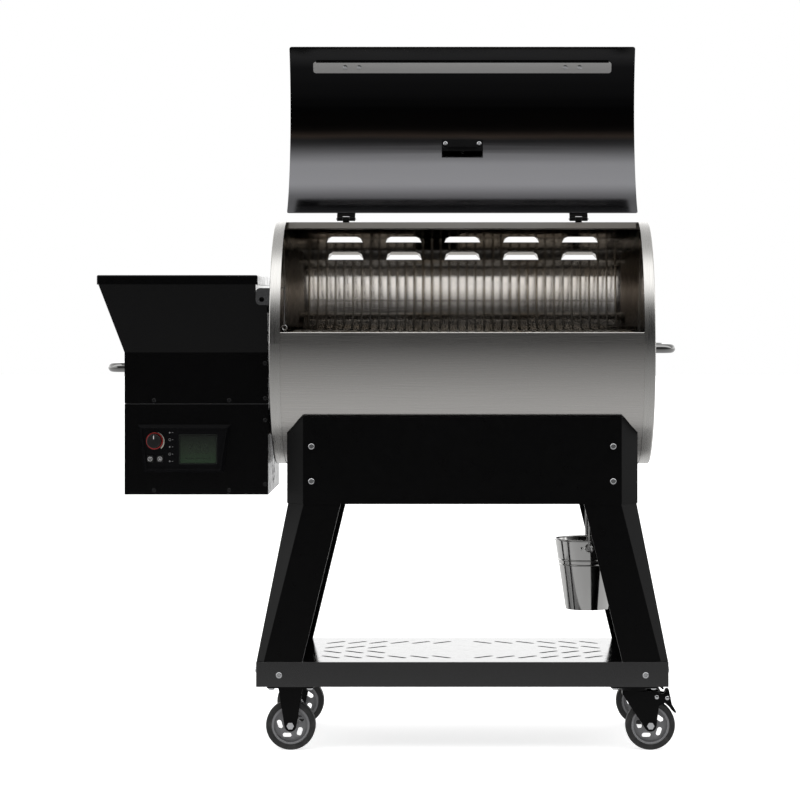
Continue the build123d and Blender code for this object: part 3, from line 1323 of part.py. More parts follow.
with BuildPart() as auger_tube:
    with BuildSketch(ALONG_X.offset(TUBE_LEFT)):
        Circle(AUGER_TUBE_R)
    extrude(amount=TUBE_RIGHT - TUBE_LEFT)
    with BuildSketch(CART.offset(AUGER_Z)):
        footprint(THROAT[0], THROAT[1], -THROAT[2], THROAT[2])
    extrude(amount=THROAT_TOP + 1.8 - AUGER_Z)
    with BuildSketch(ALONG_X.offset(TUBE_LEFT)):
        RectangleRounded(60.0, 60.0, 6.0)
    extrude(amount=4.0)
    with BuildSketch(ALONG_X.offset(TUBE_LEFT + 4.0)):
        Circle(AUGER_TUBE_R - TUBE_WALL)
    extrude(amount=TUBE_RIGHT - TUBE_LEFT, mode=Mode.SUBTRACT)
    with BuildSketch(ALONG_X.offset(TUBE_LEFT)):
        Circle(SCREW_SHAFT_R + PIN_GAP)
    extrude(amount=10.0, mode=Mode.SUBTRACT)
    with BuildSketch(CART.offset(AUGER_Z)):
        footprint(THROAT[0] + SKIN, THROAT[1] - SKIN, -THROAT[2] + SKIN, THROAT[2] - SKIN)
    extrude(amount=60.0, mode=Mode.SUBTRACT)
save(auger_tube.part, "auger_tube")

with BuildPart() as auger_screw:
    with BuildSketch(ALONG_X.offset(SCREW_LEFT)):
        Circle(SCREW_SHAFT_R)
    extrude(amount=SCREW_RIGHT - SCREW_LEFT)
    flight_left = TUBE_LEFT + 10.0
    with BuildLine() as flight_line:
        Helix(
            FLIGHT_PITCH,
            SCREW_RIGHT - 4.0 - flight_left,
            (SCREW_SHAFT_R + FLIGHT_R) / 2,
            center=(DRUM_X + flight_left, 0, AUGER_Z),
            direction=(1, 0, 0),
        )
    helix_start = flight_line.line @ 0
    outward = Vector(0, helix_start.Y, helix_start.Z - AUGER_Z)
    with BuildSketch(Plane(origin=helix_start, x_dir=outward, z_dir=flight_line.line % 0)):
        Rectangle(FLIGHT_R - SCREW_SHAFT_R + 1.0, FLIGHT_T)
    sweep(path=flight_line.line, is_frenet=True)
save(auger_screw.part, "auger_screw")

with BuildPart() as auger_gearmotor:
    with BuildSketch(ALONG_X.offset(SCREW_LEFT - 0.5)):
        with Locations((0, 2)):
            RectangleRounded(64.0, 72.0, 6.0)
    extrude(amount=-24.0)
    with BuildSketch(ALONG_X.offset(SCREW_LEFT - 24.5)):
        with Locations((0, 8)):
            Circle(25.0)
    extrude(amount=-14.0)
save(auger_gearmotor.part, "auger_gearmotor")

FAN_FRAME = Plane(origin=(DRUM_X, 0, FAN_Z), x_dir=(0, 1, 0), z_dir=(1, 0, 0))
FAN_LEFT = -452.0
FAN_R = 54.0
MOTOR_R = 17.0

with BuildPart() as fan_housing:
    with BuildSketch(FAN_FRAME.offset(FAN_LEFT)):
        Circle(FAN_R)
        Circle(FAN_R - 3.0, mode=Mode.SUBTRACT)
    extrude(amount=BOX_RIGHT - SKIN - FAN_LEFT)
    with BuildSketch(FAN_FRAME.offset(FAN_LEFT)):
        Circle(MOTOR_R)
        with PolarLocations((FAN_R + MOTOR_R) / 2 - 2, 4):
            Rectangle(FAN_R - MOTOR_R, 5.0)
    extrude(amount=4.0)
    for radius, reach in ((MOTOR_R, 14.0), (SHAFT_R, 34.0)):
        with BuildSketch(FAN_FRAME.offset(FAN_LEFT)):
            Circle(radius)
        extrude(amount=reach)
save(fan_housing.part, "fan_housing")

with BuildPart() as fan_impeller:
    with BuildSketch(FAN_FRAME.offset(FAN_LEFT + 15.0)):
        Circle(19.0)
    extrude(amount=17.0)
    for blade in range(7):
        with Locations(Location((DRUM_X + FAN_LEFT + 23.5, 0, FAN_Z), (0, 0, 0)) * Rot(blade * 360 / 7, 0, 0)):
            with Locations(Location((0, 0, 33.0), (0, 0, 35))):
                Box(18.0, 2.2, 32.0)
    with BuildSketch(FAN_FRAME.offset(FAN_LEFT + 15.0)):
        Circle(SHAFT_R + PIN_GAP)
    extrude(amount=20.0, mode=Mode.SUBTRACT)
save(fan_impeller.part, "fan_impeller")

# ---------------------------------------------------------------- hanger tab
TAB = (-415.0, -386.0, 897.0, 931.0)
TAB_FRONT = -207.0
TAB_HOLE = (-403.0, 908.0, 5.0)

with BuildPart() as hanger_tab:
    left, right, low, high = TAB
    with BuildSketch(Plane(origin=(DRUM_X, TAB_FRONT, 0), x_dir=(1, 0, 0), z_dir=(0, -1, 0))):
        with Locations(((left + right) / 2, (low + high) / 2)):
            Rectangle(right - left, high - low)
    extrude(amount=-SHEET)
    fillet(hanger_tab.edges().filter_by(Axis.Y).group_by(Axis.X)[0], 9.0)
    with Locations(Pos(DRUM_X + right, TAB_FRONT, (low + high) / 2)):
        Box(SHEET, 24.0, high - low, align=(Align.MAX, Align.MIN, Align.CENTER))
    with Locations(Location((DRUM_X + TAB_HOLE[0], TAB_FRONT, TAB_HOLE[1]), (90, 0, 0))):
        Cylinder(TAB_HOLE[2], 20.0, mode=Mode.SUBTRACT)
save(hanger_tab.part, "hanger_tab")
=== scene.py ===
"""Pellet smoker grill: materials, trim, light and camera. Metres, +Z up, front to -Y."""

import json
from math import cos, pi, radians, sin, tau

import bmesh
import bpy
from mathutils import Matrix, Vector


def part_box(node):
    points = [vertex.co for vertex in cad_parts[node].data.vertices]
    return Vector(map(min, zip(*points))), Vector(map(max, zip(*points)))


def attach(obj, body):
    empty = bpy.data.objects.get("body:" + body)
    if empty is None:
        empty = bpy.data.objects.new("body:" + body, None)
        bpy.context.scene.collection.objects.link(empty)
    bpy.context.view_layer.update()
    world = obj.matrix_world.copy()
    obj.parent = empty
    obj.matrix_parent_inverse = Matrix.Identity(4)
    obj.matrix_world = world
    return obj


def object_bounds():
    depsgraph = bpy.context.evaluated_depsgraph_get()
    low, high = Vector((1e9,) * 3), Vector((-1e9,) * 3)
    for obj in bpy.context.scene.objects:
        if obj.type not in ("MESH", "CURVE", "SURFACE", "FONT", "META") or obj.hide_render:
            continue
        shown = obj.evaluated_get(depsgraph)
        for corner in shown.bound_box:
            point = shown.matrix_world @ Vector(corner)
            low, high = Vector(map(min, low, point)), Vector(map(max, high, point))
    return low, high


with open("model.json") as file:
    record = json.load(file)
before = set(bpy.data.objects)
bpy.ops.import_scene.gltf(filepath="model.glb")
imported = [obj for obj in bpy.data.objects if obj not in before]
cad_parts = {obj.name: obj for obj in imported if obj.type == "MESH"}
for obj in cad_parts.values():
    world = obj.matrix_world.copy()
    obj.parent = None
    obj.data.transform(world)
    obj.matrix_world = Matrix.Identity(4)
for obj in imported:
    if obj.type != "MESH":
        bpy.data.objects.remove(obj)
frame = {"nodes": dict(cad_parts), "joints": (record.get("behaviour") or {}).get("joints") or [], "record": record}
nodes = frame["nodes"]
cad_box = [list(corner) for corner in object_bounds()]

MM = 0.001


def middle(node):
    """Centre of a CAD node's box."""
    low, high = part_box(node)
    return (low + high) / 2


drum_low, drum_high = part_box("barrel_shell")
DRUM_X = middle("barrel_shell").x
DRUM_RADIUS = drum_high.y
DRUM_Z = drum_low.z + DRUM_RADIUS
LID_LOW, LID_HIGH = (corner.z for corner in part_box("lid_shell"))
LIP_Z = DRUM_Z + DRUM_RADIUS - 14.0 * MM
CAP_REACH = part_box("end_cap_right")[1].x - DRUM_X

# ---------------------------------------------------------------- materials


class Look:
    """A procedural material under construction; its textures use the row frame's own coordinates."""

    def __init__(self, name, colour, roughness, metallic=0.0, **sockets):
        self.material = bpy.data.materials.new(name)
        self.material.use_nodes = True
        self.tree = self.material.node_tree
        self.shader = self.tree.nodes["Principled BSDF"]
        self.put("Base Color", (*colour, 1.0))
        self.put("Roughness", roughness)
        self.put("Metallic", metallic)
        for socket, value in sockets.items():
            self.put(socket.replace("_", " "), value)
        self.place = self.tree.nodes.new("ShaderNodeTexCoord").outputs["Object"]
        self.bump_from = None

    def put(self, socket, value):
        self.shader.inputs[socket].default_value = value

    def join(self, source, target):
        self.tree.links.new(source, target)

    def math(self, kind, first, second=0.0):
        """One arithmetic node; its inputs are numbers or outputs."""
        node = self.tree.nodes.new("ShaderNodeMath")
        node.operation = kind
        for socket, value in zip(node.inputs, (first, second)):
            if isinstance(value, (int, float)):
                socket.default_value = value
            else:
                self.join(value, socket)
        return node.outputs[0]

    def stretched(self, scale, vector=None):
        """Coordinates multiplied axis by axis."""
        node = self.tree.nodes.new("ShaderNodeVectorMath")
        node.operation = "MULTIPLY"
        self.join(vector or self.place, node.inputs[0])
        node.inputs[1].default_value = scale
        return node.outputs[0]

    def noise(self, scale, detail=3.0, vector=None, rough=0.55):
        """Value of a noise texture; scale is cells per metre, or three of them."""
        node = self.tree.nodes.new("ShaderNodeTexNoise")
        node.inputs["Scale"].default_value = 1.0
        node.inputs["Detail"].default_value = detail
        node.inputs["Roughness"].default_value = rough
        sizes = (scale, scale, scale) if isinstance(scale, (int, float)) else scale
        self.join(self.stretched(sizes, vector), node.inputs["Vector"])
        return node.outputs["Fac"]

    def ramp(self, value, stops):
        """Colour ramp over a value; stops are (position, colour)."""
        node = self.tree.nodes.new("ShaderNodeValToRGB")
        elements = node.color_ramp.elements
        while len(elements) < len(stops):
            elements.new(0.5)
        for element, (position, colour) in zip(elements, stops):
            element.position = position
            element.color = (*colour, 1.0)
        self.join(value, node.inputs["Fac"])
        return node.outputs["Color"]

    def span(self, value, low, high, to_low, to_high):
        """Maps a value's range onto another, clamped."""
        node = self.tree.nodes.new("ShaderNodeMapRange")
        self.join(value, node.inputs["Value"])
        for socket, number in zip(("From Min", "From Max", "To Min", "To Max"), (low, high, to_low, to_high)):
            node.inputs[socket].default_value = number
        return node.outputs["Result"]

    def mix(self, factor, first, second):
        """Colour between two colours or outputs."""
        node = self.tree.nodes.new("ShaderNodeMix")
        node.data_type = "RGBA"
        factor_in, first_in, second_in = node.inputs["Factor"], node.inputs[6], node.inputs[7]
        for socket, value in ((factor_in, factor), (first_in, first), (second_in, second)):
            if isinstance(value, (int, float)):
                socket.default_value = value
            elif isinstance(value, tuple):
                socket.default_value = (*value, 1.0)
            else:
                self.join(value, socket)
        return node.outputs[2]

    def colour(self, output):
        self.join(output, self.shader.inputs["Base Color"])
        return self

    def roughness(self, output):
        self.join(output, self.shader.inputs["Roughness"])
        return self

    def bump(self, height, strength, distance):
        """Adds a bump on top of those before it."""
        node = self.tree.nodes.new("ShaderNodeBump")
        node.inputs["Strength"].default_value = strength
        node.inputs["Distance"].default_value = distance
        self.join(height, node.inputs["Height"])
        if self.bump_from:
            self.join(self.bump_from, node.inputs["Normal"])
        self.bump_from = node.outputs["Normal"]
        self.join(self.bump_from, self.shader.inputs["Normal"])
        return self

    def rounded_edges(self, radius):
        """Softens hard edges in shading so that they catch the light."""
        node = self.tree.nodes.new("ShaderNodeBevel")
        node.samples = 4
        node.inputs["Radius"].default_value = radius
        self.bump_from = node.outputs["Normal"]
        self.join(self.bump_from, self.shader.inputs["Normal"])
        return self

    def axis(self, name):
        """X, Y or Z of the coordinates."""
        split = self.tree.nodes.new("ShaderNodeSeparateXYZ")
        self.join(self.place, split.inputs[0])
        return split.outputs[name]

    def about_drum(self):
        """Coordinates (x, radius, angle) about the drum's middle line, and the radius alone."""
        above = self.math("SUBTRACT", self.axis("Z"), DRUM_Z)
        square = self.math("ADD", self.math("POWER", self.axis("Y"), 2.0), self.math("POWER", above, 2.0))
        radius = self.math("SQRT", square)
        merge = self.tree.nodes.new("ShaderNodeCombineXYZ")
        self.join(self.axis("X"), merge.inputs["X"])
        self.join(radius, merge.inputs["Y"])
        self.join(self.math("ARCTAN2", above, self.axis("Y")), merge.inputs["Z"])
        return merge.outputs[0], radius


def powder_coat(name, tone, roughness=0.42, specular=0.5):
    """Baked powder paint: fine orange peel, faint mottling and dust in the sheen."""
    look = Look(name, (tone, tone, tone * 1.12), roughness, Specular_IOR_Level=specular)
    look.rounded_edges(0.9 * MM)
    cloud = look.noise(5.0, 4.0)
    look.colour(look.mix(cloud, (tone * 0.8, tone * 0.8, tone * 0.9), (tone * 1.25, tone * 1.22, tone * 1.3)))
    look.roughness(look.span(look.noise(60.0, 4.0), 0.3, 0.7, roughness - 0.05, roughness + 0.05))
    look.bump(look.noise(900.0, 2.0), 0.10, 0.25 * MM)
    look.bump(look.noise(260.0, 2.0), 0.06, 0.4 * MM)
    return look.material


def brushed(name, tone, grain, roughness=0.24, spread=0.10, warm=0.02):
    """Brushed stainless; grain is the number of cells per metre along X, Y and Z, few along the strokes."""
    look = Look(name, (tone, tone, tone), roughness, metallic=1.0)
    stroke = look.noise(grain, 3.0, rough=0.7)
    cloud = look.noise(3.0, 3.0)
    pale = (tone * 1.05, tone * 1.04, tone * 1.03)
    dark = (tone * 0.86, tone * (0.86 - warm), tone * (0.86 - 2 * warm))
    look.colour(look.mix(look.math("MULTIPLY", stroke, cloud), pale, dark))
    look.roughness(look.span(stroke, 0.3, 0.7, roughness - spread / 2, roughness + spread / 2))
    look.bump(stroke, 0.12, 0.05 * MM)
    return look.material


def drum_steel():
    """The drum's sheet: satin outside, mirror-like inside with straw and brown heat tint."""
    look = Look("drum_steel", (0.6, 0.59, 0.57), 0.25, metallic=1.0)
    radius = look.about_drum()[1]
    outside = look.span(radius, DRUM_RADIUS - 1.2 * MM, DRUM_RADIUS - 0.6 * MM, 0.0, 1.0)
    stroke = look.noise((9.0, 1500.0, 1500.0), 2.0, rough=0.6)
    satin = look.mix(stroke, (0.62, 0.605, 0.585), (0.55, 0.535, 0.515))
    blotch = look.noise((3.0, 3.0, 5.0), 4.0)
    tints = [(0.3, (0.62, 0.61, 0.60)), (0.55, (0.57, 0.54, 0.50)), (0.75, (0.44, 0.38, 0.33))]
    tint = look.ramp(blotch, tints)
    look.colour(look.mix(outside, tint, satin))
    inner_rough = look.span(look.noise((9.0, 60.0, 60.0), 3.0), 0.3, 0.7, 0.05, 0.1)
    # The folded lip along the opening is matt
    lip = look.span(look.axis("Z"), LIP_Z, LIP_Z + 1.0 * MM, 0.0, 0.5)
    inner_rough = look.math("ADD", inner_rough, lip)
    outer_rough = look.span(stroke, 0.3, 0.7, 0.24, 0.34)
    blend = look.math("MULTIPLY", outside, outer_rough)
    rest = look.math("MULTIPLY", look.math("SUBTRACT", 1.0, outside), inner_rough)
    look.roughness(look.math("ADD", blend, rest))
    look.bump(stroke, 0.03, 0.04 * MM)
    look.bump(look.noise((2.5, 1.5, 1.5), 2.0), 0.1, 3.0 * MM)
    return look.material


def end_steel():
    """Pressed drum ends: brushed round the middle line, with heat streaks on the inside of the disc."""
    look = Look("end_steel", (0.6, 0.59, 0.57), 0.24, metallic=1.0)
    turned, radius = look.about_drum()
    stroke = look.noise((900.0, 900.0, 5.0), 3.0, vector=turned, rough=0.7)
    within_band = look.span(radius, DRUM_RADIUS - 2.0 * MM, DRUM_RADIUS - 0.5 * MM, 1.0, 0.0)
    reach = look.math("ABSOLUTE", look.math("SUBTRACT", look.axis("X"), DRUM_X))
    within_disc = look.span(reach, CAP_REACH - 0.8 * MM, CAP_REACH - 0.3 * MM, 1.0, 0.0)
    inside = look.math("MULTIPLY", within_band, within_disc)
    streak = look.noise((2.0, 14.0, 3.0), 4.0)
    tints = [(0.35, (0.40, 0.38, 0.36)), (0.6, (0.26, 0.22, 0.18)), (0.75, (0.12, 0.1, 0.09))]
    warm = look.ramp(streak, tints)
    look.colour(look.mix(inside, look.mix(stroke, (0.66, 0.65, 0.63), (0.52, 0.51, 0.49)), warm))
    look.roughness(look.span(stroke, 0.3, 0.7, 0.20, 0.32))
    look.bump(stroke, 0.06, 0.04 * MM)
    return look.material


def lid_enamel():
    """Dark glossy enamel as a mirror-like metal; its colour is graded by height as painted reflection: paler over
    the lower half, a brown band, nearly black above and a little lighter at the top edge.
    """
    look = Look("lid_enamel", (0.1, 0.1, 0.1), 0.12, metallic=1.0)
    look.rounded_edges(0.8 * MM)
    height = look.span(look.axis("Z"), LID_LOW, LID_HIGH, 0.0, 1.0)
    drift = look.math("MULTIPLY", look.math("SUBTRACT", look.noise(4.0, 4.0), 0.5), 0.03)
    # Painted reflection: colour by height, paler low down, a brown band near the middle, nearly black above and
    # lighter again at the top edge
    stops = [(0.0, (0.14, 0.14, 0.147)), (0.37, (0.13, 0.13, 0.136)), (0.45, (0.1, 0.098, 0.1))]
    stops += [(0.475, (0.25, 0.19, 0.155)), (0.51, (0.07, 0.06, 0.055)), (0.64, (0.02, 0.02, 0.021))]
    stops += [(0.88, (0.016, 0.016, 0.017)), (0.94, (0.035, 0.035, 0.036))]
    look.colour(look.ramp(look.math("ADD", height, drift), stops))
    look.roughness(look.span(look.noise((12.0, 40.0, 40.0), 4.0), 0.3, 0.7, 0.09, 0.15))
    look.bump(look.noise(700.0, 2.0), 0.03, 0.12 * MM)
    look.bump(look.noise((3.0, 5.0, 5.0), 2.0), 0.08, 1.2 * MM)
    return look.material


def polished(name, tone=0.72, roughness=0.1):
    """Polished steel with faint handling marks."""
    look = Look(name, (tone, tone, tone), roughness, metallic=1.0)
    smear = look.noise((40.0, 40.0, 15.0), 4.0)
    look.colour(look.mix(smear, (tone, tone, tone * 0.99), (tone * 0.9, tone * 0.89, tone * 0.87)))
    look.roughness(look.span(smear, 0.3, 0.7, roughness * 0.6, roughness * 1.5))
    look.bump(look.noise(350.0, 3.0), 0.03, 0.1 * MM)
    return look.material


def zinc():
    """Bright zinc plate on fasteners."""
    look = Look("zinc", (0.72, 0.73, 0.74), 0.25, metallic=1.0)
    grain = look.noise(1500.0, 3.0)
    look.colour(look.mix(grain, (0.78, 0.78, 0.78), (0.6, 0.61, 0.64)))
    look.roughness(look.span(look.noise(300.0, 3.0), 0.3, 0.7, 0.1, 0.2))
    look.bump(grain, 0.03, 0.05 * MM)
    return look.material


def grate_steel():
    """Plated cooking rods, straw-coloured where they have been hot."""
    look = Look("grate_steel", (0.55, 0.53, 0.5), 0.2, metallic=1.0)
    spot = look.noise((14.0, 9.0, 9.0), 4.0)
    look.colour(look.ramp(spot, [(0.35, (0.60, 0.58, 0.55)), (0.65, (0.42, 0.36, 0.28))]))
    look.roughness(look.span(look.noise(400.0, 3.0), 0.3, 0.7, 0.14, 0.26))
    look.bump(look.noise((500.0, 60.0, 500.0), 3.0), 0.2, 0.15 * MM)
    return look.material


def fired_steel():
    """Sheet and pipe round the fire: blue, brown and soot grey."""
    look = Look("fired_steel", (0.3, 0.27, 0.25), 0.45, metallic=0.9)
    patch = look.noise(11.0, 5.0)
    colours = [(0.3, (0.33, 0.31, 0.30)), (0.48, (0.30, 0.22, 0.15))]
    colours += [(0.6, (0.13, 0.13, 0.17)), (0.75, (0.05, 0.05, 0.05))]
    look.colour(look.ramp(patch, colours))
    look.roughness(look.span(look.noise(45.0, 4.0), 0.3, 0.7, 0.35, 0.65))
    look.bump(look.noise(220.0, 4.0), 0.25, 0.3 * MM)
    return look.material


def rubber():
    """Tread rubber with moulding marks and a little road dust."""
    look = Look("rubber", (0.018, 0.018, 0.018), 0.62, Specular_IOR_Level=0.4)
    dust = look.noise(70.0, 5.0)
    look.colour(look.mix(look.span(dust, 0.5, 0.8, 0.0, 0.6), (0.014, 0.014, 0.014), (0.055, 0.052, 0.048)))
    look.roughness(look.span(dust, 0.3, 0.7, 0.5, 0.75))
    look.bump(look.noise(800.0, 3.0), 0.25, 0.2 * MM)
    return look.material


def moulded(name, colour, roughness, grain=900.0, strength=0.1, specular=0.5):
    """Injection-moulded plastic with a fine spark-eroded texture."""
    look = Look(name, colour, roughness, Specular_IOR_Level=specular)
    look.rounded_edges(0.5 * MM)
    cloud = look.noise(30.0, 3.0)
    pale = tuple(min(1.0, part * 1.15) for part in colour)
    dark = tuple(part * 0.88 for part in colour)
    look.colour(look.mix(cloud, dark, pale))
    look.roughness(look.span(look.noise(120.0, 3.0), 0.3, 0.7, roughness * 0.85, roughness * 1.15))
    look.bump(look.noise(grain, 2.0), strength, 0.15 * MM)
    return look.material


def liquid_crystal():
    """Unlit grey-green display behind clear plastic, with painted shade that darkens it towards its top, so that
    it is lighter and greener towards its foot.
    """
    gloss = {"Coat_Weight": 1.0, "Coat_Roughness": 0.03, "Specular_IOR_Level": 0.2}
    look = Look("liquid_crystal", (0.015, 0.02, 0.015), 0.08, **gloss)
    low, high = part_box("control_display")
    height = look.span(look.axis("Z"), low.z, high.z, 0.0, 1.0)
    fine = look.noise(2500.0, 2.0)
    # Painted shade: the window is darkest at its top and lighter and greener towards its foot
    painted_shade_greens = [(0.0, (0.016, 0.032, 0.016)), (0.45, (0.014, 0.021, 0.013)), (1.0, (0.005, 0.006, 0.005))]
    shade = look.ramp(height, painted_shade_greens)
    look.colour(look.mix(look.math("MULTIPLY", fine, 0.4), shade, (0.012, 0.016, 0.012)))
    look.roughness(look.span(fine, 0.3, 0.7, 0.06, 0.12))
    return look.material


def printed(name, colour, roughness=0.5):
    """Ink laid on plastic: slightly uneven cover."""
    look = Look(name, colour, roughness)
    cover = look.noise(1200.0, 3.0)
    look.colour(look.mix(cover, tuple(part * 0.85 for part in colour), colour))
    look.bump(cover, 0.1, 0.02 * MM)
    return look.material


GRAIN_X = (6.0, 800.0, 800.0)
COAT = powder_coat("black_coat", 0.0012, roughness=0.32, specular=0.13)
HOPPER_COAT = powder_coat("hopper_coat", 0.0014, roughness=0.16, specular=0.18)
SHELF_COAT = powder_coat("shelf_coat", 0.003, roughness=0.1, specular=1.0)
DRUM_STEEL = drum_steel()
END_STEEL = end_steel()
LID_ENAMEL = lid_enamel()
STRIP_STEEL = brushed("strip_steel", 0.58, GRAIN_X, 0.2)
TRAY_STEEL = brushed("tray_steel", 0.74, (60.0, 8.0, 60.0), 0.09, 0.04)
POLISHED = polished("polished_steel")
PAIL_STEEL = polished("pail_steel", 0.58, 0.1)
# Painted shade: the side handles use polished steel darkened to 0.3 so that they read darker than the other
# polished parts
SHADED_HANDLE_STEEL = polished("handle_steel_painted_shade", 0.3, 0.07)
ZINC = zinc()
GRATE_STEEL = grate_steel()
FIRED_STEEL = fired_steel()
RUBBER = rubber()
RIM_PLASTIC = moulded("rim_plastic", (0.16, 0.16, 0.165), 0.4)
PANEL_PLASTIC = moulded("panel_plastic", (0.0022, 0.0022, 0.0026), 0.2, 600.0, 0.03, 0.2)
KNOB_PLASTIC = moulded("knob_plastic", (0.008, 0.008, 0.008), 0.34, specular=0.35)
FAN_PLASTIC = moulded("fan_plastic", (0.02, 0.02, 0.02), 0.5)
MOTOR_METAL = moulded("motor_metal", (0.4, 0.4, 0.41), 0.45, 500.0, 0.2)
BLACK_SCREW = moulded("black_screw", (0.005, 0.005, 0.0055), 0.14, 1200.0, 0.05, 0.5)
DISPLAY = liquid_crystal()
WHITE_INK = printed("white_ink", (0.6, 0.6, 0.6))
PALE_INK = printed("pale_ink", (0.34, 0.31, 0.26))
FAINT_INK = printed("faint_ink", (0.16, 0.16, 0.16))
RED_INK = printed("red_ink", (0.32, 0.012, 0.01), 0.35)
GREY_INK = printed("segment_ink", (0.012, 0.016, 0.012), 0.3)
DIAL_FACE = printed("dial_face", (0.72, 0.71, 0.68), 0.4)

SLOT_LOOKS = {
    "black_coat": COAT,
    "hopper_coat": HOPPER_COAT,
    "enamel": LID_ENAMEL,
    "stainless": DRUM_STEEL,
    "polished": POLISHED,
    "zinc": ZINC,
    "steel_wire": GRATE_STEEL,
    "pot_steel": FIRED_STEEL,
    "black_screw": BLACK_SCREW,
    "rim_plastic": RIM_PLASTIC,
    "tread": RUBBER,
    "panel_plastic": PANEL_PLASTIC,
    "knob_plastic": KNOB_PLASTIC,
    "button_plastic": KNOB_PLASTIC,
    "screen": DISPLAY,
    "dial": POLISHED,
    "motor_steel": MOTOR_METAL,
    "fan_plastic": FAN_PLASTIC,
}
NODE_LOOKS = {
    "shelf": SHELF_COAT,
    "end_cap_left": END_STEEL,
    "end_cap_right": END_STEEL,
    "drip_tray": TRAY_STEEL,
    "lid_inner_strip": STRIP_STEEL,
    "side_handles": SHADED_HANDLE_STEEL,
    "drain_spout": PAIL_STEEL,
    "bucket": PAIL_STEEL,
    "bucket_bail": PAIL_STEEL,
}


def dress(piece, material):
    """Makes material the piece's only one."""
    piece.data.materials.clear()
    piece.data.materials.append(material)


for part in frame["record"]["subparts"]:
    dress(nodes[part["node"]], NODE_LOOKS.get(part["node"], SLOT_LOOKS[part["material_slot"]]))

# ---------------------------------------------------------------- small trim


def piece(name, mesh, material, body, slot=None, smooth=40.0):
    """Turns a bmesh into a piece that rides on a body."""
    data = bpy.data.meshes.new(name)
    bmesh.ops.recalc_face_normals(mesh, faces=mesh.faces)
    mesh.to_mesh(data)
    mesh.free()
    data.set_sharp_from_angle(angle=radians(smooth))
    made = bpy.data.objects.new(name, data)
    bpy.context.scene.collection.objects.link(made)
    dress(made, material)
    if body:
        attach(made, body)
    return made


def lathe(mesh, profile, place, segments=48):
    """Revolves a closed (radius, height) profile about the place matrix's own Z."""
    rings = []
    for step in range(segments):
        turn = step * tau / segments
        rings.append([mesh.verts.new(place @ Vector((r * cos(turn), r * sin(turn), h))) for r, h in profile])
    for step in range(segments):
        ring, following = rings[step], rings[(step + 1) % segments]
        for index in range(len(profile)):
            after = (index + 1) % len(profile)
            mesh.faces.new((ring[index], following[index], following[after], ring[after]))


def slab(mesh, outline, place, thickness):
    """Extrudes a convex outline along the place matrix's own Z."""
    base = [mesh.verts.new(place @ Vector((x, y, 0.0))) for x, y in outline]
    top = [mesh.verts.new(place @ Vector((x, y, thickness))) for x, y in outline]
    mesh.faces.new(base)
    mesh.faces.new(top)
    for index in range(len(outline)):
        after = (index + 1) % len(outline)
        mesh.faces.new((base[index], base[after], top[after], top[index]))


def arc_band(mesh, place, inner, outer, start, end, thickness, steps=32):
    """Part of a flat ring; inner and outer are radii at the start and at the end."""
    for step in range(steps):
        corners = []
        for position in (step / steps, (step + 1) / steps):
            turn = radians(start + (end - start) * position)
            low = inner[0] + (inner[1] - inner[0]) * position
            high = outer[0] + (outer[1] - outer[0]) * position
            corners.append([(low * cos(turn), low * sin(turn)), (high * cos(turn), high * sin(turn))])
        slab(mesh, [corners[0][0], corners[0][1], corners[1][1], corners[1][0]], place, thickness)


def bar(x, y, width, height):
    """Rectangle outline about a point."""
    return [
        (x - width / 2, y - height / 2),
        (x + width / 2, y - height / 2),
        (x + width / 2, y + height / 2),
        (x - width / 2, y + height / 2),
    ]


def disc(x, y, radius, sides=20):
    """Round outline about a point."""
    return [(x + radius * cos(tau * i / sides), y + radius * sin(tau * i / sides)) for i in range(sides)]


def facing_front(x, y, z):
    """Matrix with local X to the right, local Y up and local Z towards the viewer at the front."""
    turn = Matrix(((1, 0, 0), (0, 0, -1), (0, 1, 0))).to_4x4()
    return Matrix.Translation((x, y, z)) @ turn


INK = 0.15 * MM
knob_low, knob_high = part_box("control_knob")
knob_at = middle("control_knob")
FACE_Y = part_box("button_left")[0].y + 2.0 * MM
KNOB_RADIUS = (knob_high.x - knob_low.x) / 2
KNOB_FRONT = knob_low.y

# Red ring and widening white scale round the knob
on_face = facing_front(knob_at.x, FACE_Y, knob_at.z)
ring = bmesh.new()
ring_profile = [(15.2, 0.02), (16.9, 0.02), (16.9, 0.5), (16.5, 0.8), (15.6, 0.8), (15.2, 0.5)]
lathe(ring, [(r * MM, h * MM) for r, h in ring_profile], on_face, 96)
piece("knob_ring", ring, RED_INK, "cart", "panel_plastic")

scale = bmesh.new()
arc_band(scale, on_face, (18.3 * MM, 18.3 * MM), (18.6 * MM, 21.2 * MM), 70.0, -48.0, INK)
piece("knob_scale", scale, PALE_INK, "cart", "panel_plastic")

pointer = bmesh.new()
on_knob = facing_front(knob_at.x, KNOB_FRONT, knob_at.z)
slab(pointer, bar(0.0, KNOB_RADIUS * 0.55, 1.4 * MM, 7.0 * MM), on_knob, INK)
piece("knob_pointer", pointer, WHITE_INK, "knob", "knob_plastic")

# Marks on the two buttons
for name, body in (("button_left", "left_button"), ("button_right", "right_button")):
    centre = middle(name)
    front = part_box(name)[0].y
    mark = bmesh.new()
    place = facing_front(centre.x, front, centre.z)
    arc_band(mark, place, (3.8 * MM, 3.8 * MM), (4.4 * MM, 4.4 * MM), 0.0, 360.0, INK, 36)
    if name.endswith("left"):
        slab(mark, bar(0.0, 1.0 * MM, 0.9 * MM, 4.6 * MM), place, INK)
    else:
        slab(mark, [(-1.6 * MM, -1.4 * MM), (1.9 * MM, -1.4 * MM), (0.15 * MM, 1.9 * MM)], place, INK)
    piece(f"{name}_mark", mark, WHITE_INK, body, "button_plastic")

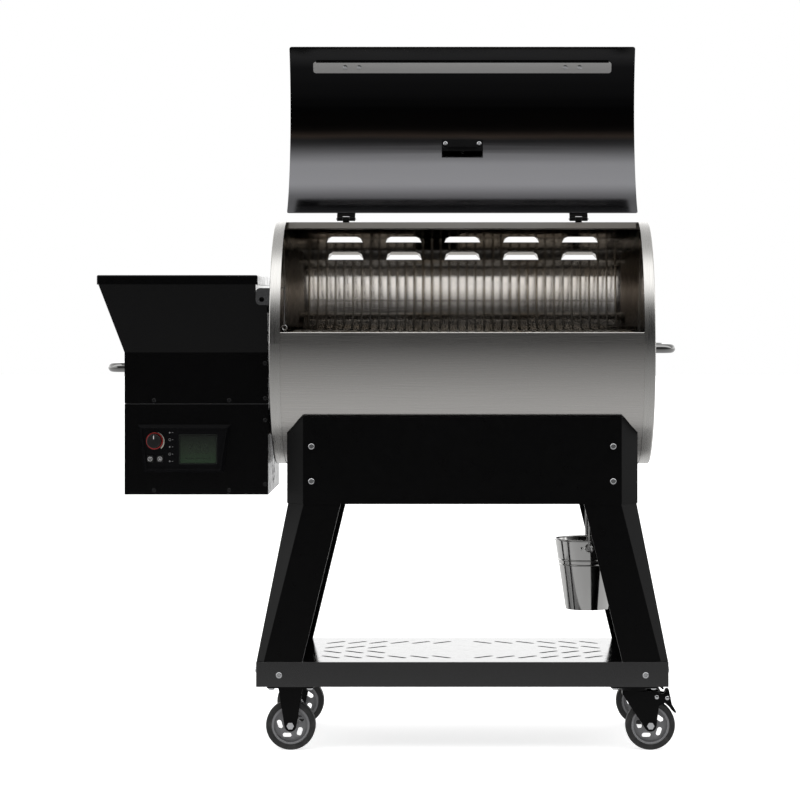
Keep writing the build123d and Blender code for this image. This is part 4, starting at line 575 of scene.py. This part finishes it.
# Column of pictograms between the knob and the display, each with a short bar beside it
display_low, display_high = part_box("control_display")
icon_x = display_low.x - 21.0 * MM
icons = bmesh.new()
for row in range(5):
    place = facing_front(icon_x, FACE_Y, display_high.z + (6.0 - 14.5 * row) * MM)
    if row % 2:
        arc_band(icons, place, (1.7 * MM, 1.7 * MM), (2.4 * MM, 2.4 * MM), 20.0, 340.0, INK, 20)
    else:
        slab(icons, disc(0.0, 0.0, 1.5 * MM), place, INK)
    slab(icons, bar(5.6 * MM, 0.0, 3.0 * MM, 0.8 * MM), place, INK)
piece("panel_icons", icons, FAINT_INK, "cart", "panel_plastic")

# Frame printed round the window, and idle segments of three digits
window = bmesh.new()
width, height = display_high.x - display_low.x, display_high.z - display_low.z
centre = middle("control_display")
place = facing_front(centre.x, FACE_Y, centre.z)
for side in (-1, 1):
    slab(window, bar(side * (width / 2 + 1.6 * MM), 0.0, 1.0 * MM, height + 4.2 * MM), place, INK)
    slab(window, bar(0.0, side * (height / 2 + 1.6 * MM), width + 2.2 * MM, 1.0 * MM), place, INK)
piece("display_frame", window, GREY_INK, "cart", "panel_plastic")

SEGMENTS = [(0.0, 9.0, 6.0, 1.3), (0.0, 0.0, 6.0, 1.3), (0.0, -9.0, 6.0, 1.3)]
SEGMENTS += [(side * 4.2, row * 4.5, 1.3, 6.6) for side in (-1, 1) for row in (-1, 1)]
digits = bmesh.new()
place = facing_front(centre.x, display_low.y, centre.z)
for column in (-1, 0, 1):
    for x, y, wide, high in SEGMENTS:
        slab(digits, bar((x + 15.5 * column) * MM, (y + 3.0) * MM, wide * MM, high * MM), place, 0.1 * MM)
for column in range(-2, 3):
    slab(digits, bar(11.5 * column * MM, -19.0 * MM, 7.5 * MM, 1.6 * MM), place, 0.1 * MM)
piece("display_segments", digits, GREY_INK, "cart", "screen")

# ---------------------------------------------------------------- thermometer dial
FACE_THICKNESS = 0.1 * MM
TICK_HEIGHT = 0.08 * MM
dial = nodes["thermometer"].data
flats = {}
for face in dial.polygons:
    direction = tuple(round(part, 2) for part in face.normal)
    flats[direction] = flats.get(direction, Vector()) + face.normal * face.area
# The widest flat faces lie across the axis; the thin stem is on the lid's side of them
outward = max(flats.values(), key=lambda total: total.length).normalized()
levels = [vertex.co.dot(outward) for vertex in dial.vertices]
mean_level = sum(levels) / len(levels)
outward = outward if mean_level - min(levels) > max(levels) - mean_level else -outward
# Straight up on the dial is towards the lid's hinge, which is downwards while the lid stands open
dial_up = (outward.cross(Vector((1, 0, 0)))).normalized()
dial_up = dial_up if dial_up.z < 0 else -dial_up
rim_level = max(vertex.co.dot(outward) for vertex in dial.vertices)
recess = [v.co for v in dial.vertices if abs(v.co.dot(outward) - rim_level + 1.5 * MM) < 0.1 * MM]
dial_centre = sum(recess, Vector()) / len(recess)
turn = Matrix((dial_up.cross(outward), dial_up, outward)).transposed().to_4x4()
on_dial = Matrix.Translation(dial_centre) @ turn

plate = bmesh.new()
slab(plate, disc(0.0, 0.0, 26.6 * MM, 64), on_dial, FACE_THICKNESS)
piece("dial_face", plate, DIAL_FACE, "lid", "dial")
ticks = bmesh.new()
above_face = on_dial @ Matrix.Translation((0, 0, FACE_THICKNESS))
for step in range(31):
    lean = Matrix.Rotation(radians(135 - 9 * step), 4, "Z")
    middle_at, tick_width, tick_length = (22.5, 1.0, 4.4) if step % 5 == 0 else (23.5, 0.5, 2.4)
    tick = bar(0.0, middle_at * MM, tick_width * MM, tick_length * MM)
    slab(ticks, tick, above_face @ lean, TICK_HEIGHT)
arc_band(ticks, above_face, (24.9 * MM, 24.9 * MM), (25.3 * MM, 25.3 * MM), -45.0, 225.0, TICK_HEIGHT, 60)
piece("dial_ticks", ticks, GREY_INK, "lid", "dial")
needle = bmesh.new()
lean = Matrix.Rotation(radians(128), 4, "Z")
needle_outline = [(-0.9, -5.0), (0.9, -5.0), (0.25, 20.0), (-0.25, 20.0)]
outline = [(x * MM, y * MM) for x, y in needle_outline]
slab(needle, outline, above_face @ Matrix.Translation((0, 0, 0.4 * MM)) @ lean, 0.3 * MM)
hub = [(0.05, 0.0), (2.6, 0.0), (2.4, 0.9), (0.05, 1.1)]
lathe(needle, [(r * MM, h * MM) for r, h in hub], above_face, 24)
piece("dial_needle", needle, RED_INK, "lid", "dial")

# ---------------------------------------------------------------- rivets and a painted seam highlight


def domed(mesh, place, radius, height):
    """Shallow button head."""
    profile = [(0.05, -0.1), (radius, -0.1), (radius, height * 0.3)]
    profile += [(radius * 0.7, height * 0.85), (0.05, height)]
    lathe(mesh, [(r * MM, h * MM) for r, h in profile], place, 24)


joints = {joint["name"]: joint for joint in frame["joints"]}
for row in ("front", "rear"):
    pivot = joints[f"brake_{row}"]["pos_m"]
    for name, node, body, across, up in (
        ("pedal_rivet", "brake_pedal", "pedal", 0.0, 0.0),
        ("fork_rivet", "swivel_fork", "swivel", -21.0 * MM, 1.6 * MM),
    ):
        face_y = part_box(f"{node}_{row}")[0].y
        rivet = bmesh.new()
        domed(rivet, facing_front(pivot[0] + across, face_y, pivot[2] + up), 4.0, 1.7)
        piece(f"{name}_{row}", rivet, ZINC, f"{body}_{row}", "zinc")

# Painted highlight: a bright zinc strip along the joint between the bin and the control box, standing in for the
# light its edge catches
box_low, box_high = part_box("control_box")
seam = bmesh.new()
place = facing_front((box_low.x + box_high.x) / 2, box_low.y, box_high.z)
slab(seam, bar(0.0, 0.0, box_high.x - box_low.x - 4.0 * MM, 0.5 * MM), place, 0.3 * MM)
piece("box_seam_highlight", seam, ZINC, "cart", "zinc")

# Rings round the pail's bail holes and a rivet beside the front one
pail_x = middle("bucket").x
pail_low, pail_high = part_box("bucket")
ear_z = joints["pail_swing"]["pos_m"][2]
rings = bmesh.new()
ring_profile = [(5.2, -0.4), (8.6, -0.4), (8.6, 0.5), (7.6, 1.3), (6.2, 1.3), (5.2, 0.5)]
for turned in (0.0, pi):
    place = Matrix.Rotation(turned, 4, "Z") @ facing_front(0.0, pail_low.y, ear_z)
    place = Matrix.Translation((pail_x, 0.0, 0.0)) @ place
    lathe(rings, [(r * MM, h * MM) for r, h in ring_profile], place, 32)
domed(rings, facing_front(pail_x - 15.0 * MM, pail_low.y + 3.4 * MM, ear_z), 2.6, 1.4)
piece("pail_rings", rings, POLISHED, "pail", "polished")


# ---------------------------------------------------------------- stage
STAGE_HALF = 30.0
GROUND = cad_box[0][2] - 0.2 * MM
FLOOR_GLOW = 0.7
# Brightness that polished surfaces find on the floor, by distance along Y
FLOOR_TONES = [(-9.0, 0.10), (-3.0, 0.22), (-1.4, 0.36), (-0.5, 0.56), (0.6, 0.7), (3.0, 0.95)]
# Brightness of the surroundings by angle, from below the front, over the top, to below the back
SKY_STRENGTH = 2.0
SKY_TONES = [(-90, 0.3), (-8, 0.08), (2, 0.035), (16, 0.02), (24, 0.06), (34, 0.16), (44, 0.8), (54, 1.7)]
SKY_TONES += [(78, 1.8), (92, 0.8), (100, 0.6), (118, 0.6), (140, 0.9), (165, 1.7), (185, 1.7), (269, 0.9)]
# The same by the direction's X, for the softboxes at both sides
SIDE_TONES = [(-1.0, 1.2), (-0.75, 1.0), (-0.6, 0.0), (0.7, 0.0), (0.88, 0.14), (1.0, 0.14)]


def grey(tone):
    """Colour of one tone."""
    return (tone, tone, tone)


def tone_ramp(look, value, tones):
    """Colour ramp over tones given at real values, which are first brought into 0..1."""
    low, high = tones[0][0], tones[-1][0]
    stops = [((at - low) / (high - low), grey(tone)) for at, tone in tones]
    return look.ramp(look.span(value, low, high, 0.0, 1.0), stops)


def only_seen_by(made, *rays):
    """Leaves an object visible to the named kinds of ray."""
    for ray in ("camera", "diffuse", "glossy", "transmission", "shadow", "volume_scatter"):
        setattr(made, f"visible_{ray}", ray in rays)


def emitter(name, mesh, source=None):
    """Stage object that glows white, or with a colour worked out by source(look)."""
    look = Look(name, (0.0, 0.0, 0.0), 1.0, Specular_IOR_Level=0.0)
    look.put("Emission Color", (1.0, 1.0, 1.0, 1.0))
    look.put("Emission Strength", 1.0)
    if source:
        look.join(source(look), look.shader.inputs["Emission Color"])
    made = piece(name, mesh, look.material, None)
    return made


floor_mesh = bmesh.new()
bmesh.ops.create_grid(floor_mesh, x_segments=2, y_segments=2, size=STAGE_HALF)
floor_look = Look("floor_paper", (0.85, 0.85, 0.85), 0.9, Specular_IOR_Level=0.0)
floor_look.put("Emission Color", (1.0, 1.0, 1.0, 1.0))
floor_look.put("Emission Strength", FLOOR_GLOW)
floor_look.bump(floor_look.noise(900.0, 2.0), 0.02, 0.1 * MM)
floor = piece("floor", floor_mesh, floor_look.material, None)
floor.location.z = GROUND
only_seen_by(floor, "camera", "diffuse", "shadow")

# White surroundings for the camera, and a graded floor for reflections
dome_mesh = bmesh.new()
bmesh.ops.create_icosphere(dome_mesh, subdivisions=4, radius=1.2 * STAGE_HALF)
only_seen_by(emitter("backdrop", dome_mesh), "camera")

sheet_mesh = bmesh.new()
bmesh.ops.create_grid(sheet_mesh, x_segments=2, y_segments=2, size=STAGE_HALF)


def floor_tone(look):
    """Tone of the graded floor by distance along Y."""
    return tone_ramp(look, look.axis("Y"), FLOOR_TONES)


reflected_floor = emitter("reflected_floor", sheet_mesh, floor_tone)
reflected_floor.location.z = GROUND + 0.1 * MM
only_seen_by(reflected_floor, "glossy")

world = bpy.data.worlds.new("studio")
world.use_nodes = True
bpy.context.scene.world = world


class WorldLook(Look):
    """The same node helpers over the world's own tree."""

    def __init__(self, target):
        self.tree = target.node_tree
        self.place = self.tree.nodes.new("ShaderNodeTexCoord").outputs["Generated"]


sky = WorldLook(world)
front_angle = sky.math("ARCTAN2", sky.axis("Z"), sky.math("MULTIPLY", sky.axis("Y"), -1.0))
# The angle runs on past the back horizon instead of jumping to minus 180 degrees
behind = sky.math("MULTIPLY", sky.math("LESS_THAN", front_angle, -pi / 2), tau)
degrees_round = sky.math("MULTIPLY", sky.math("ADD", front_angle, behind), 180.0 / pi)
front_back = tone_ramp(sky, degrees_round, [(at, tone / SKY_STRENGTH) for at, tone in SKY_TONES])
sideways = tone_ramp(sky, sky.axis("X"), [(at, tone / SKY_STRENGTH) for at, tone in SIDE_TONES])
lightest = sky.tree.nodes.new("ShaderNodeMix")
lightest.data_type = "RGBA"
lightest.blend_type = "LIGHTEN"
lightest.inputs["Factor"].default_value = 1.0
sky.join(front_back, lightest.inputs[6])
sky.join(sideways, lightest.inputs[7])
background = world.node_tree.nodes["Background"]
sky.join(lightest.outputs[2], background.inputs["Color"])
background.inputs["Strength"].default_value = SKY_STRENGTH


def area_light(name, location, target, size, power):
    """Rectangular softbox aimed at a point."""
    data = bpy.data.lights.new(name, "AREA")
    data.shape = "RECTANGLE"
    data.size, data.size_y = size
    data.energy = power
    made = bpy.data.objects.new(name, data)
    made.location = location
    made.rotation_euler = (Vector(target) - Vector(location)).to_track_quat("-Z", "Y").to_euler()
    made.visible_glossy = False
    bpy.context.scene.collection.objects.link(made)
    return made


area_light("overhead_softbox", (0.1, -0.6, 3.8), (0.1, 0.0, 0.9), (3.0, 2.0), 12.0)

# ---------------------------------------------------------------- camera
CAMERA_DISTANCE = 5.9
CAMERA_HEIGHT = 0.897
FOCAL_PIXELS = 2835.0
FRAME_PIXELS = 800.0
SENSOR = 36.0
LENS_SHIFT = (-0.0779, -0.1188)
camera_data = bpy.data.cameras.new("camera")
camera_data.sensor_width = SENSOR
camera_data.lens = FOCAL_PIXELS / FRAME_PIXELS * SENSOR
camera_data.shift_x, camera_data.shift_y = LENS_SHIFT
camera = bpy.data.objects.new("camera", camera_data)
camera.location = (DRUM_X, -CAMERA_DISTANCE, CAMERA_HEIGHT)
camera.rotation_euler = (pi / 2, 0.0, 0.0)
bpy.context.scene.collection.objects.link(camera)
bpy.context.scene.camera = camera
bpy.context.scene.view_settings.view_transform = "Standard"
